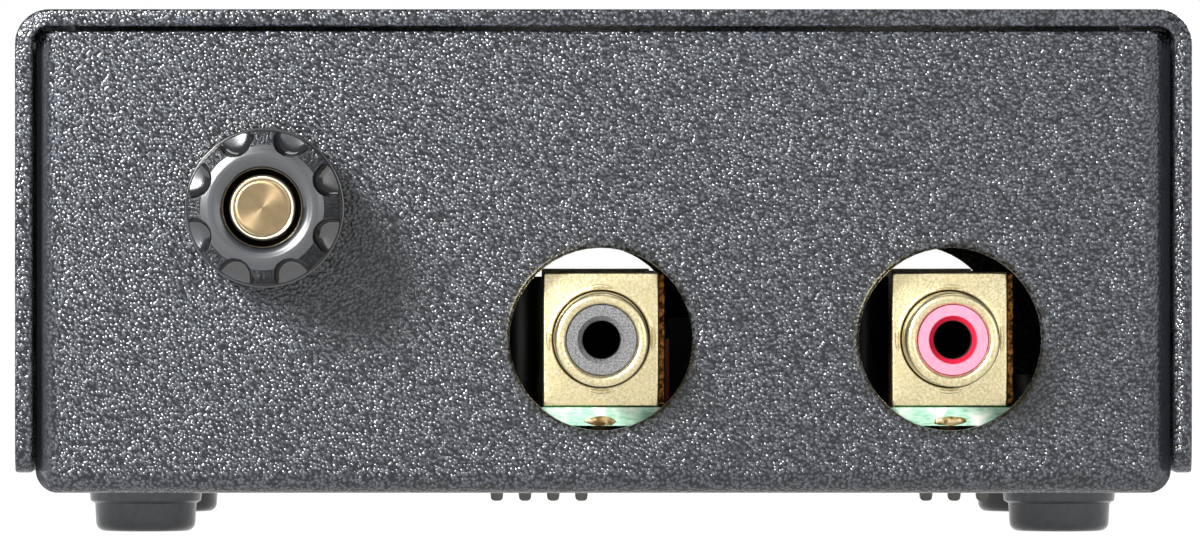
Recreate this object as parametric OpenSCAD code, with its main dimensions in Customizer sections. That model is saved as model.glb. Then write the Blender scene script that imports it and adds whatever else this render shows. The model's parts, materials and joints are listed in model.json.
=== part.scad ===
// Phono preamp in a folded sheet-steel box, millimetres, +Z up.
// The input panel, with the ground terminal and two phono jacks, faces -Y.
// The origin is on the surface that the feet stand on, midway along the overall length and width.

/* [Cover] */
// Outside width of the wrap-around cover
cover_width = 103; // [100:0.5:120]
// Height of the cover's top above the surface that the feet stand on
case_height = 46; // [43:0.5:60]
// Thickness of the cover's sheet
cover_sheet = 1.5; // [1:0.1:2]
// Outside radius of the cover's two long bends
cover_bend = 3; // [2.5:0.25:5]
// How far the cover reaches past each end panel
cover_overhang = 2; // [0.5:0.25:4]
// Height of the cover's lower edges above the underside of the tray
cover_lift = 1.8; // [1:0.1:4]
// Radius of the four free corners of the cover's side walls
cover_corner = 2; // [0.5:0.25:4]

/* [Tray] */
// Length from the outer face of one end panel to that of the other
case_length = 108; // [100:1:130]
// Thickness of the tray's sheet
tray_sheet = 1.5; // [1:0.1:2]
// Gap between the cover and the tray on each side
side_gap = 0.2; // [0.1:0.05:0.5]
// Gap between the cover and the top edge of each end panel
top_gap = 0.4; // [0.2:0.05:1]
// Outside radius of the long bends under the side flanges
side_bend = 2; // [2:0.1:3]
// Outside radius of the bend at the foot of each end panel
panel_foot_bend = 2; // [1.5:0.1:2.5]
// Outside radius of the upright bends at the sides of each end panel
panel_side_bend = 2.4; // [1.5:0.1:2.8]
// Depth of the returns folded back from the sides of each end panel
return_depth = 9; // [6:0.5:14]
// Height of the side flanges above the underside of the tray
flange_height = 16; // [15:0.5:20]
// Width of the slanted relief cut at the lower corners of each end panel
relief_width = 1.9; // [0.8:0.1:2.4]
// Width of the slits between neighbouring folds
relief_gap = 0.2; // [0.1:0.05:0.6]
// Smallest inside radius of a bend
least_bend = 0.2; // [0.1:0.05:0.3]

/* [Feet and screws] */
// Height of the rubber feet
foot_height = 3.6; // [3.4:0.1:6]
// Diameter of the foot's flange
foot_flange_d = 10; // [9.4:0.1:12]
// Thickness of the foot's flange
foot_flange_h = 0.9; // [0.6:0.1:1.5]
// Diameter of the foot below its flange
foot_d = 9; // [8:0.1:9.2]
// How much the foot narrows, on each side, down its flange and down its body
foot_taper = 0.1; // [0:0.05:0.3]
// Radius of the foot's lower edge
foot_edge = 0.8; // [0.4:0.1:1]
// Rubber left between the screw head and the tray
foot_web = 1.4; // [1.2:0.1:1.5]
// Distance of a foot's centre from the side of the tray
foot_inset_x = 9.3; // [8:0.1:12]
// Distance of a foot's centre from the outer face of the nearer end panel
foot_inset_y = 14.5; // [14:0.5:20]
// Diameter of the screws
screw_d = 3; // [2.5:0.1:3]
// Diameter of the pan heads
pan_head_d = 5.5; // [5:0.1:5.8]
// Height of the pan heads
pan_head_h = 1.8; // [1.2:0.1:1.8]
// Diameter of the countersunk heads
sunk_head_d = 5.5; // [5:0.1:6]
// Length of the countersunk screws
sunk_screw_length = 6; // [5:0.5:7]
// Size across the flats of the sockets in the screw heads
socket_af = 2; // [1.5:0.1:2.4]
// Height of the cover screws above the underside of the tray
cover_screw_lift = 12; // [11:0.25:12]
// Distance between the two cover screws of one side
cover_screw_spacing = 70; // [50:1:74]
// Outside diameter of the tapped collars on the side flanges
collar_d = 5.4; // [4.8:0.1:6]
// How far the tapped collars stand out from the flange
collar_length = 1.5; // [1:0.1:1.8]

/* [Circuit board] */
// Height of the hexagonal standoffs between tray and board
standoff_height = 4.4; // [4.4:0.1:7]
// Size of the standoffs across their flats
standoff_af = 5.5; // [5:0.1:6]
// How far each screw reaches into a standoff
screw_grip = 2; // [1.5:0.1:2.1]
// Thickness of the circuit board
board_thickness = 1.6; // [1.2:0.1:2]
// Gap between the board and each side flange
board_side_gap = 2.3; // [2:0.1:4]
// Gap between the board and each end panel
board_end_gap = 0.5; // [0.3:0.1:1]

/* [Phono jacks] */
// Distance of the right jacks from the right side of the tray
jack_inset = 19.4; // [18:0.1:22]
// Distance between the two jacks of a pair
jack_pitch = 30.6; // [29:0.1:32]
// Diameter of the holes in the end panels
jack_hole_d = 16; // [14:0.1:16.5]
// Height of a jack's axis above the board
jack_axis_height = 6; // [5.5:0.1:6.5]
// Gap between the inner face of the panel and the jack's front
jack_gap = 1; // [0.6:0.1:2]
// Width of the jack's metal case
jack_width = 10.2; // [9.5:0.1:11]
// Height of the jack's metal case
jack_height = 11.85; // [11.5:0.05:11.9]
// Depth of the jack's metal case
jack_depth = 10; // [9:0.5:12]
// Wall of the jack's metal case
jack_wall = 0.6; // [0.4:0.1:0.8]
// Outside diameter of the jack's barrel
barrel_d = 8.2; // [8:0.05:8.5]
// Inside diameter of the jack's barrel
barrel_bore_d = 6.2; // [5.8:0.1:6.4]
// Length of the barrel in front of the case
barrel_length = 9.5; // [8:0.1:11]
// Radius of the barrel's rounded lip
barrel_lip = 0.45; // [0.3:0.05:0.5]
// Width of the raised ring that is pressed round the barrel's root
root_ring_d = 9.4; // [9:0.1:9.8]
// Height of that ring
root_ring_h = 0.15; // [0.1:0.05:0.3]
// How far the insulator sits behind the lip
insulator_recess = 0.4; // [0.2:0.1:1]
// Diameter of the hole for the plug's pin
pin_hole_d = 3.3; // [3.2:0.05:3.5]
// Diameter of the funnel round that hole, at the insulator's face
pin_mouth_d = 4.2; // [4:0.1:4.6]
// Depth of that funnel
pin_mouth_h = 0.6; // [0.4:0.1:1]
// Length of the contact's tube
contact_length = 5; // [4:0.5:6]
// Outside diameter of the contact's tube
contact_d = 4.6; // [4.2:0.1:5]
// Inside diameter of the contact's tube
contact_bore_d = 2.9; // [2.6:0.05:2.9]
// Diameter of the solder tails
tail_d = 0.9; // [0.7:0.05:1.1]
// How far the solder tails reach below the board
tail_out = 1.1; // [0.8:0.1:1.5]

/* [Ground terminal] */
// Distance of the terminal from the left side of the tray
ground_inset = 20.2; // [17:0.1:22]
// Height of the terminal above the underside of the tray
ground_lift = 25; // [23:0.5:28]
// Diameter of the outer thread
stud_d = 5.8; // [5.4:0.1:6]
// How far the stud stands out of the panel
stud_reach = 12.9; // [12.4:0.1:13.4]
// Diameter of the flat disc at the stud's end, inside its chamfer
stud_end_d = 4.7; // [4.2:0.1:5]
// Depth of the chamfer at the stud's end
stud_chamfer = 0.2; // [0.1:0.05:0.6]
// Diameter of the stud's fixed collar
stud_collar_d = 12.6; // [11.5:0.1:13]
// Thickness of the stud's fixed collar
stud_collar_h = 2; // [1.5:0.1:2.5]
// Diameter of the inner thread
stud_tail_d = 5; // [4.5:0.1:5.2]
// How far the inner thread reaches behind the panel
stud_tail_length = 6; // [5.5:0.1:7]
// Outside diameter of the captive washer
ground_washer_d = 13; // [12:0.1:13.4]
// Thickness of the captive washer
ground_washer_h = 0.8; // [0.6:0.1:1.2]
// Diameter of the thumb nut at its base
nut_base_d = 14; // [13.6:0.1:15]
// Thickness of the rim at the nut's base
nut_rim_h = 1; // [0.6:0.1:1.5]
// Diameter of the nut's side just above the rim
nut_skirt_d = 13.5; // [13:0.1:13.6]
// Diameter that the nut's side narrows to at its face
nut_face_d = 10.8; // [10.4:0.1:12]
// Length of the thumb nut
nut_length = 11.7; // [11:0.1:13]
// Diameter of the ridge of the nut's crowned face
nut_ridge_d = 9.1; // [8.6:0.1:9.6]
// Radius of that crown
nut_crown = 1.7; // [1.6:0.1:2.4]
// Diameter of the hole in the nut's face
nut_mouth_d = 6.8; // [6.4:0.1:7.2]
// Number of scallops round the nut
scallops = 8; // [6:1:10]
// Radius of a scallop
scallop_r = 1.5; // [1.2:0.1:1.8]
// Distance of a scallop's centre from the nut's axis
scallop_place = 6.35; // [6.2:0.05:6.8]
// Outside diameter of the brass insert in the nut
insert_d = 8.2; // [7.8:0.1:8.4]
// Length of the insert above the washer
insert_length = 6; // [5:0.5:7]
// Size of the inner lock nut across its flats
lock_nut_af = 8; // [7:0.5:9]
// Thickness of the inner lock nut
lock_nut_h = 2.7; // [2:0.1:3]
// Outside diameter of the solder tag's ring
tag_d = 9; // [8:0.5:10]
// Thickness of the solder tag
tag_sheet = 0.6; // [0.4:0.1:0.8]
// Length of the solder tag from its ring's centre to its end
tag_length = 10; // [9:0.5:11]
// Width of the solder tag's tail
tag_width = 3; // [2.4:0.1:4]
// Diameter of the ground wire
wire_d = 1.4; // [1:0.1:1.6]
// Radius of the ground wire's bend
wire_bend = 2; // [1.5:0.1:3]

/* [Switches] */
// Distance between neighbouring sliders
slider_pitch = 2.54; // [2.4:0.02:2.6]
// How far the left bank's middle is to the left of the left jack
bank_left_shift = 5.4; // [3.8:0.1:7.8]
// How far the right bank's middle is to the right of the right jack
bank_right_shift = 2.7; // [-3:0.1:3.5]
// Distance of both banks from the outer face of the input panel
bank_y = 35; // [30:0.5:40]
// Plastic outside the outermost sliders
bank_margin = 2.1; // [1.6:0.1:3]
// Length of a bank's case
bank_length = 9.8; // [9:0.1:11]
// Gap between a bank's case and the window in the tray
window_gap = 0.3; // [0.2:0.05:0.6]
// Depth of a bank's face above the underside of the tray
bank_recess = 0.1; // [0.05:0.05:0.3]
// Depth of the slots that the sliders run in
slot_depth = 2.4; // [2:0.1:3]
// Width of a slider
slider_width = 1.26; // [1:0.02:1.4]
// Length of a slider
slider_length = 2; // [1.6:0.1:2.4]
// How far a slider moves
slider_travel = 2; // [1.6:0.1:2.4]
// How far a slider stands out of the tray
slider_out = 1.35; // [1:0.05:1.6]
// Width and height of the cut corners of a slider's knob
slider_corner = 0.35; // [0.2:0.05:0.4]
// How much a slider's knob narrows on each side
slider_taper = 0.08; // [0:0.01:0.1]
// Gap round a slider in its slot
slider_gap = 0.1; // [0.05:0.01:0.15]

/* [Power inlet] */
// Distance of the inlet from the left side of the tray
inlet_inset = 20.2; // [17:0.1:25]
// Width of the inlet's case
inlet_width = 9; // [8.8:0.1:10]
// Depth of the inlet's case behind the panel
inlet_depth = 12.5; // [12:0.5:14]
// Height of the inlet's case
inlet_height = 10.8; // [10.6:0.1:11.5]
// Height of the inlet's axis above the board
inlet_axis_height = 6.3; // [6:0.1:6.4]
// Diameter of the inlet's nose
inlet_nose_d = 8; // [7.6:0.1:8.4]
// How far the nose stands out of the panel
inlet_nose_out = 0.8; // [0.4:0.1:1.5]
// Diameter of the inlet's bore
inlet_bore_d = 5.9; // [5.6:0.1:6.2]
// Depth of the inlet's bore
inlet_bore_depth = 10; // [9:0.5:11]
// Diameter of the inlet's pin
inlet_pin_d = 2.1; // [2:0.05:2.5]
// How far the pin's tip stays inside the mouth
inlet_pin_recess = 0.8; // [0.5:0.1:1.5]
// Diameter of the pin's shank inside the case
inlet_shank_d = 3.2; // [3:0.1:4]

/* [Board components] */
// Diameter of the signal capacitors
can_d = 8; // [6.3:0.1:8.4]
// Height of all round capacitors
can_height = 11.4; // [9:0.1:11.6]
// Diameter of the supply capacitors
supply_can_d = 10; // [8:0.1:10.5]
// Length of a box capacitor
box_length = 7.2; // [6.8:0.1:7.6]
// Width of a box capacitor
box_width = 3.5; // [2.5:0.1:4]
// Height of a box capacitor
box_height = 5.8; // [5:0.1:7]
// Length of an amplifier chip
chip_length = 9.6; // [9.2:0.1:10]
// Width of an amplifier chip
chip_width = 6.4; // [6.2:0.1:6.6]
// Thickness of an amplifier chip
chip_height = 3.3; // [3:0.1:3.6]
// Height of a chip socket
socket_height = 4.2; // [3.6:0.1:4.6]
// Diameter of a resistor's body
resistor_d = 2.4; // [2:0.1:2.6]
// Length of a resistor's body
resistor_length = 6.3; // [5.6:0.1:6.6]
// Distance over a resistor's two legs
resistor_span = 10.2; // [10:0.1:11]
// Distance between neighbouring resistors
resistor_pitch = 3.5; // [3:0.1:3.8]
// Diameter of the legs of resistors and regulators
lead_d = 0.6; // [0.4:0.05:0.7]
// Distance between neighbouring legs of a regulator
regulator_leg_pitch = 1.27; // [1.2:0.01:1.4]
// Distance between neighbouring legs of a chip
chip_leg_pitch = 2.54; // [2.3:0.02:2.6]
// Width of a chip's legs
chip_leg_width = 0.6; // [0.4:0.1:0.9]
// How far a chip's legs stand out of its sides
chip_leg_out = 0.5; // [0.3:0.05:0.6]
// Width of a chip socket's plastic round the chip
socket_border = 1.5; // [1:0.1:2]
// Height of the groove pressed round a capacitor's foot
groove_height = 0.8; // [0.4:0.1:1.2]
// Depth of that groove
groove_depth = 0.25; // [0.1:0.05:0.4]
// Diameter of a regulator's body
regulator_d = 4.8; // [4.4:0.1:5.2]
// Height of a regulator above the board
regulator_height = 8; // [7:0.1:9]

/* [Clearances] */
// Radial clearance of a turning or sliding fit
running_gap = 0.05; // [0.03:0.01:0.08]
// Radial clearance of a screw or tail in its hole
hole_gap = 0.1; // [0.05:0.01:0.2]
// Clearance of a piece pressed into its housing
seat_gap = 0.05; // [0.02:0.01:0.1]

/* [Hidden] */
$fn = 96;

// Colours
powder_grey = [0.29, 0.3, 0.32];
board_green = [0.45, 0.68, 0.55];
gold = [0.88, 0.76, 0.45];
brass = [0.72, 0.6, 0.38];
steel = [0.7, 0.71, 0.73];
black_plastic = [0.1, 0.1, 0.11];
smoke_plastic = [0.26, 0.28, 0.31];
knob_grey = [0.64, 0.64, 0.6];
rubber_black = [0.13, 0.13, 0.14];
pin_red = [0.9, 0.3, 0.38];
box_red = [0.62, 0.16, 0.12];

// Where the case lies along Y: the thumb nut in front and the jacks behind reach equally far
jack_front = tray_sheet + jack_gap;
jack_reach = barrel_length - jack_front;
nut_reach = stud_collar_h + ground_washer_h + nut_length;
case_mid = (nut_reach - jack_reach) / 2;
front_y = case_mid - case_length / 2;
rear_y = case_mid + case_length / 2;

// Tray and cover
tray_bottom = foot_height;
tray_floor = tray_bottom + tray_sheet;
tray_width = cover_width - 2 * cover_sheet - 2 * side_gap;
panel_top = case_height - cover_sheet - top_gap;
cover_bottom = tray_bottom + cover_lift;
flange_start = return_depth + relief_gap;
fold_root = side_bend + relief_gap;
return_bottom = tray_bottom + fold_root + relief_gap;

// Board
board_bottom = tray_floor + standoff_height;
board_top = board_bottom + board_thickness;
board_width = tray_width - 2 * tray_sheet - 2 * board_side_gap;
board_left = -board_width / 2;
foot_x = tray_width / 2 - foot_inset_x;
foot_y = case_length / 2 - foot_inset_y;

// Jacks
jack_right_x = tray_width / 2 - jack_inset;
jack_left_x = jack_right_x - jack_pitch;
jack_z = board_top + jack_axis_height;
barrel_tip = jack_front - barrel_length;
case_tail_y = jack_front + jack_wall / 2;
contact_tail_y = jack_front + jack_depth + tail_d / 2 + seat_gap;
contact_start = jack_front + jack_depth - contact_length;
case_tail_x = (jack_width - jack_wall) / 2;

// Screws
sunk_head_h = (sunk_head_d - screw_d) / 2;

// Ground terminal
ground_x = ground_inset - tray_width / 2;
ground_z = tray_bottom + ground_lift;
washer_front = -stud_collar_h;
nut_base = washer_front - ground_washer_h;
nut_front = nut_base - nut_length;
insert_front = nut_base - insert_length;
tag_back = tray_sheet + tag_sheet;
tag_tail_z = ground_z - tag_length + tag_width / 2;
wire_y = tag_back + lock_nut_h + wire_bend;

// Switch banks
sliders = 4;
bank_left_x = jack_left_x - bank_left_shift;
bank_right_x = jack_right_x + bank_right_shift;
bank_width = (sliders - 1) * slider_pitch + bank_margin * 2;
bank_face = tray_bottom + bank_recess;
slot_length = slider_length + slider_travel + 2 * slider_gap;

// Power inlet
inlet_x = inlet_inset - tray_width / 2;
inlet_z = board_top + inlet_axis_height;
inlet_bore_floor = inlet_bore_depth - inlet_nose_out;

// Places of the board components: how far to the right of the left jack, of the right jack or of the
// board's left edge, and how far from the outer face of the input panel
signal_cans = [each from_x(jack_left_x, [[-7.2, 22], [-17.8, 24], [8.2, 78]]),
               each from_x(jack_right_x, [[-6.8, 34], [-8.4, 78]])];
supply_cans = from_x(board_left, [[6, 60], [6, 73]]);
film_boxes = [each from_x(jack_left_x, [[2.6, 24], [-6, 68]]),
              each from_x(jack_right_x, [[-1, 24], [-15.9, 24], [-15.9, 30], [-7, 66]])];
chip_places = from_x(jack_left_x, [[-21.8, 40], [10.2, 45]]);
resistor_rows = 6;
resistor_places = [each from_x(jack_left_x, column(-18.8, 52)), each from_x(jack_left_x, column(13.2, 54))];
regulator_places = from_x(board_left, [[16, 84], [6, 84]]);

// Places that start from a given X
function from_x(start, places) = [for (place = places) [start + place[0], place[1]]];

// A column of resistors
function column(x, first) = [for (row = [0 : resistor_rows - 1]) [x, first + row * resistor_pitch]];

// ---------------------------------------------------------------- helpers

// Places children at an end panel: its outer face is Y = 0 and the case's inside is +Y.
// The input end is -1 and the output end is 1.
module at_end(end) {
    translate([0, end < 0 ? front_y : rear_y, 0])
        mirror([0, end < 0 ? 0 : 1, 0])
            children();
}

// Extrudes an X-Z outline from one Y to another
module along_y(from, to) {
    translate([0, to, 0])
        rotate([90, 0, 0])
            linear_extrude(to - from)
                children();
}

// Extrudes a Y-Z outline, centred on X = 0
module along_x(length) {
    rotate([90, 0, 90])
        linear_extrude(length, center = true)
            children();
}

// Cylinder along Y from one Y to another
module rod_y(r, from, to) {
    translate([0, from, 0])
        rotate([-90, 0, 0])
            cylinder(r = r, h = to - from);
}

// Turns a radius-height outline round the Y axis, with its height towards -Y
module turned_y() {
    rotate([90, 0, 0])
        rotate_extrude()
            children();
}

// Rectangle on Y = 0, centred on X, with its two lower corners rounded
module trough(width, height, radius) {
    translate([-width / 2, radius])
        square([width, height - radius]);
    translate([-width / 2 + radius, 0])
        square([width - 2 * radius, height]);
    for (side = [-1, 1])
        translate([side * (width / 2 - radius), radius])
            circle(radius);
}

// Hexagonal prism, size across the flats, standing on Z = 0
module hexagon(af, height) {
    cylinder(d = af / cos(30), h = height, $fn = 6);
}

// Inside radius of a bend in sheet of a given thickness, never quite sharp
function inner_bend(outer, sheet) = max(outer - sheet, least_bend);

// ---------------------------------------------------------------- cover

// Front view of the bent cover, as a trough that stands on its head
module cover_section() {
    depth = case_height - cover_bottom;
    translate([0, case_height])
        mirror([0, 1])
            difference() {
                trough(cover_width, depth, cover_bend);
                translate([0, cover_sheet])
                    trough(cover_width - 2 * cover_sheet, depth, inner_bend(cover_bend, cover_sheet));
            }
}

// Side view of the cover, its lower corners rounded
module cover_side_view() {
    translate([case_mid, cover_bottom])
        trough(case_length + 2 * cover_overhang, case_height - cover_bottom + cover_sheet, cover_corner);
}

module cover() {
    color(powder_grey)
        difference() {
            intersection() {
                along_y(front_y - cover_overhang, rear_y + cover_overhang)
                    cover_section();
                along_x(cover_width + cover_sheet)
                    cover_side_view();
            }
            at_cover_screws()
                sunk_screw_hole();
        }
}

// Places children at the cover screws, with Z = 0 at the cover's face and +Z outwards
module at_cover_screws() {
    for (side = [-1, 1], along = [-1, 1])
        translate([side * cover_width / 2, case_mid + along * cover_screw_spacing / 2,
                   tray_bottom + cover_screw_lift])
            rotate([0, side * 90, 0])
                children();
}

module sunk_screw_hole() {
    translate([0, 0, -2 * cover_sheet])
        cylinder(d = screw_d + 2 * hole_gap, h = 3 * cover_sheet);
    translate([0, 0, -sunk_head_h])
        cylinder(d1 = screw_d + 2 * hole_gap, d2 = sunk_head_d + 2 * hole_gap, h = sunk_head_h);
}

module cover_screws() {
    color(steel)
        at_cover_screws()
            difference() {
                union() {
                    translate([0, 0, -sunk_screw_length])
                        cylinder(d = screw_d, h = sunk_screw_length);
                    translate([0, 0, -sunk_head_h])
                        cylinder(d1 = screw_d, d2 = sunk_head_d, h = sunk_head_h);
                }
                translate([0, 0, -sunk_head_h])
                    hexagon(socket_af, 2 * sunk_head_h);
            }
}

// ---------------------------------------------------------------- tray

// Floor and side folds, up to a height above the underside
module floor_section(height) {
    translate([0, tray_bottom])
        difference() {
            trough(tray_width, height, side_bend);
            translate([0, tray_sheet])
                trough(tray_width - 2 * tray_sheet, height, inner_bend(side_bend, tray_sheet));
        }
}

// One end of the tray as a solid block, shrunk on all sides by one sheet for its inside
module end_block(shrink) {
    intersection() {
        linear_extrude(panel_top + shrink)
            translate([0, shrink])
                trough(tray_width - 2 * shrink, return_depth, inner_bend(panel_side_bend, shrink));
        along_x(tray_width)
            translate([return_depth, tray_bottom + shrink])
                trough(2 * (return_depth - shrink), panel_top, inner_bend(panel_foot_bend, shrink));
    }
}

// Front view of an end panel, with the slanted reliefs at its lower corners
module panel_outline() {
    half = tray_width / 2;
    polygon([[-half, panel_top], [-half, return_bottom], [-half + relief_width, tray_bottom],
             [half - relief_width, tray_bottom], [half, return_bottom], [half, panel_top]]);
}

module tray_end() {
    intersection() {
        difference() {
            end_block(0);
            end_block(tray_sheet);
        }
        along_y(0, return_depth)
            panel_outline();
    }
}

module tray_holes() {
    for (end = [-1, 1], x = [jack_left_x, jack_right_x])
        at_end(end)
            translate([x, 0, jack_z])
                rod_y(jack_hole_d / 2, -tray_sheet, 2 * tray_sheet);
    at_end(-1)
        translate([ground_x, 0, ground_z])
            rod_y(stud_tail_d / 2 + hole_gap, -tray_sheet, 2 * tray_sheet);
    at_end(1)
        translate([inlet_x, 0, inlet_z])
            rod_y(inlet_nose_d / 2 + hole_gap, -tray_sheet, 2 * tray_sheet);
    for (x = [bank_left_x, bank_right_x])
        translate([x - bank_width / 2 - window_gap, front_y + bank_y - bank_length / 2 - window_gap,
                   tray_bottom - tray_sheet])
            cube([bank_width + 2 * window_gap, bank_length + 2 * window_gap, 3 * tray_sheet]);
    at_feet()
        translate([0, 0, tray_bottom - tray_sheet])
            cylinder(d = screw_d + 2 * hole_gap, h = 3 * tray_sheet);
    at_cover_screws()
        translate([0, 0, -cover_width / 4])
            cylinder(d = screw_d + 2 * hole_gap, h = cover_width / 4);
}

module tapped_collars() {
    at_cover_screws()
        translate([0, 0, -cover_sheet - side_gap - tray_sheet - collar_length])
            cylinder(d = collar_d, h = collar_length + tray_sheet / 2);
}

module chassis_tray() {
    color(powder_grey)
        difference() {
            union() {
                along_y(front_y + panel_foot_bend + relief_gap, rear_y - panel_foot_bend - relief_gap)
                    floor_section(fold_root);
                along_y(front_y + flange_start, rear_y - flange_start)
                    floor_section(flange_height);
                for (end = [-1, 1])
                    at_end(end)
                        tray_end();
                tapped_collars();
            }
            tray_holes();
        }
}

// ---------------------------------------------------------------- feet, standoffs and screws

module at_foot(side, end) {
    translate([side * foot_x, case_mid + end * foot_y, 0])
        children();
}

module at_feet() {
    for (side = [-1, 1], end = [-1, 1])
        at_foot(side, end)
            children();
}

// Half section of a foot: a flange with a slanted rim, and a body that narrows to a rounded edge
module foot_section() {
    flange_bottom = foot_height - foot_flange_h;
    body_top = flange_bottom - (foot_flange_d - foot_d) / 4;
    edge_r = foot_d / 2 - foot_taper - foot_edge;
    edge = [for (turn = [0 : 15 : 90])
            [edge_r + foot_edge * cos(turn), foot_edge - foot_edge * sin(turn)]];
    polygon([[0, 0], [0, foot_height], [foot_flange_d / 2, foot_height],
             [foot_flange_d / 2 - foot_taper, flange_bottom], [foot_d / 2, body_top], each edge]);
}

module foot(side, end) {
    color(rubber_black)
        at_foot(side, end)
            difference() {
                rotate_extrude()
                    foot_section();
                translate([0, 0, -foot_web])
                    cylinder(d = pan_head_d + 4 * hole_gap, h = foot_height);
                cylinder(d = screw_d + 2 * hole_gap, h = 2 * foot_height);
            }
}

// Pan-head screw with its head's underside at Z = 0 and its shank towards +Z
module pan_screw(length) {
    difference() {
        union() {
            cylinder(d = screw_d, h = length);
            translate([0, 0, -pan_head_h])
                cylinder(d = pan_head_d, h = pan_head_h);
        }
        translate([0, 0, -1.5 * pan_head_h])
            hexagon(socket_af, pan_head_h);
    }
}

module foot_screws() {
    color(steel)
        at_feet()
            translate([0, 0, foot_height - foot_web])
                pan_screw(foot_web + tray_sheet + screw_grip);
}

module board_standoffs() {
    color(brass)
        at_feet()
            translate([0, 0, tray_floor])
                difference() {
                    hexagon(standoff_af, standoff_height);
                    translate([0, 0, -standoff_height / 2])
                        cylinder(d = screw_d + 2 * hole_gap, h = 2 * standoff_height);
                }
}

module board_screws() {
    color(steel)
        at_feet()
            translate([0, 0, board_top])
                mirror([0, 0, 1])
                    pan_screw(board_thickness + screw_grip);
}

// ---------------------------------------------------------------- circuit board

// Places children at both jacks of both ends
module at_jacks() {
    for (end = [-1, 1], x = [jack_left_x, jack_right_x])
        at_end(end)
            translate([x, 0, 0])
                children();
}

module tail_hole() {
    translate([0, 0, board_bottom - board_thickness])
        cylinder(d = tail_d + 2 * hole_gap, h = 3 * board_thickness, $fn = 24);
}

module circuit_board() {
    board_y = front_y + tray_sheet + board_end_gap;
    board_length = case_length - 2 * tray_sheet - 2 * board_end_gap;
    color(board_green)
        difference() {
            translate([-board_width / 2, board_y, board_bottom])
                cube([board_width, board_length, board_thickness]);
            at_feet()
                translate([0, 0, board_bottom - board_thickness])
                    cylinder(d = screw_d + 2 * hole_gap, h = 3 * board_thickness);
            at_jacks() {
                at_case_tails()
                    tail_hole();
                at_contact_tail()
                    tail_hole();
            }
            at_end(-1)
                translate([ground_x, wire_y, board_bottom - board_thickness])
                    cylinder(d = wire_d + 2 * hole_gap, h = 3 * board_thickness);
        }
}

// Places children at the three solder tails of a jack's case
module at_case_tails() {
    translate([0, case_tail_y, 0])
        children();
    for (side = [-1, 1])
        translate([side * case_tail_x, jack_front + jack_depth - tail_d, 0])
            children();
}

module at_contact_tail() {
    translate([0, contact_tail_y, 0])
        children();
}

// A solder tail from a given height down through the board, in its cone of solder
module tail(from) {
    translate([0, 0, board_bottom - tail_out])
        cylinder(d = tail_d, h = from - board_bottom + tail_out, $fn = 24);
    translate([0, 0, board_bottom - 0.8 * tail_out])
        cylinder(d1 = tail_d, d2 = 2.4 * tail_d, h = 0.8 * tail_out, $fn = 24);
}

// ---------------------------------------------------------------- phono jacks

module jack_shell(end, x) {
    cavity_width = jack_width - 2 * jack_wall;
    color(gold)
        at_end(end)
            translate([x, 0, 0]) {
                difference() {
                    union() {
                        translate([-jack_width / 2, jack_front, board_top])
                            cube([jack_width, jack_depth, jack_height]);
                        translate([0, jack_front, jack_z]) {
                            turned_y()
                                barrel_section();
                            rod_y(root_ring_d / 2, -root_ring_h, jack_wall / 2);
                        }
                    }
                    translate([-cavity_width / 2, jack_front + jack_wall, board_top - jack_wall])
                        cube([cavity_width, jack_depth, jack_height]);
                    translate([0, 0, jack_z])
                        rod_y(barrel_bore_d / 2, barrel_tip - barrel_lip, jack_front + 2 * jack_wall);
                }
                at_case_tails()
                    tail(board_top);
            }
}

// Half section of the barrel: a tube whose end is rounded inside and out
module barrel_section() {
    wall = (barrel_d - barrel_bore_d) / 2;
    translate([barrel_bore_d / 2, -jack_wall / 2])
        square([wall, barrel_length - barrel_lip + jack_wall / 2]);
    translate([barrel_bore_d / 2 + barrel_lip, 0])
        square([wall - 2 * barrel_lip, barrel_length]);
    for (r = [barrel_bore_d / 2 + barrel_lip, barrel_d / 2 - barrel_lip])
        translate([r, barrel_length - barrel_lip])
            circle(barrel_lip);
}

// The funnel that leads the plug's pin into the hole, from the insulator's face
module pin_mouth(face) {
    slope = (pin_mouth_d - pin_hole_d) / pin_mouth_h;
    translate([0, face + pin_mouth_h, 0])
        rotate([90, 0, 0])
            cylinder(d1 = pin_hole_d, d2 = pin_mouth_d + slope * pin_mouth_h, h = 2 * pin_mouth_h);
}

module jack_insulator(end, x, tint) {
    body_width = jack_width - 2 * jack_wall - 2 * seat_gap;
    face = barrel_tip + insulator_recess;
    body_front = jack_front + jack_wall + seat_gap;
    color(tint)
        at_end(end)
            translate([x, 0, 0])
                difference() {
                    union() {
                        translate([0, 0, jack_z])
                            rod_y(barrel_bore_d / 2 - seat_gap, face, body_front + jack_wall);
                        translate([-body_width / 2, body_front, board_top])
                            cube([body_width, jack_front + jack_depth - body_front,
                                  jack_height - jack_wall - seat_gap]);
                    }
                    translate([0, 0, jack_z]) {
                        pin_mouth(face);
                        rod_y(pin_hole_d / 2, face, jack_front + jack_depth);
                        rod_y(contact_d / 2 + seat_gap, contact_start - seat_gap,
                              jack_front + jack_depth + jack_wall);
                    }
                }
}

module jack_contact(end, x) {
    color(gold)
        at_end(end)
            translate([x, 0, 0]) {
                translate([0, 0, jack_z])
                    difference() {
                        rod_y(contact_d / 2, contact_start, jack_front + jack_depth);
                        rod_y(contact_bore_d / 2, contact_start - jack_wall,
                              jack_front + jack_depth - jack_wall);
                    }
                at_contact_tail()
                    tail(jack_z);
                translate([0, 0, jack_z])
                    rod_y(tail_d / 2, jack_front + jack_depth - jack_wall / 2, contact_tail_y);
            }
}

// ---------------------------------------------------------------- ground terminal

module at_ground() {
    at_end(-1)
        translate([ground_x, 0, ground_z])
            children();
}

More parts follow.
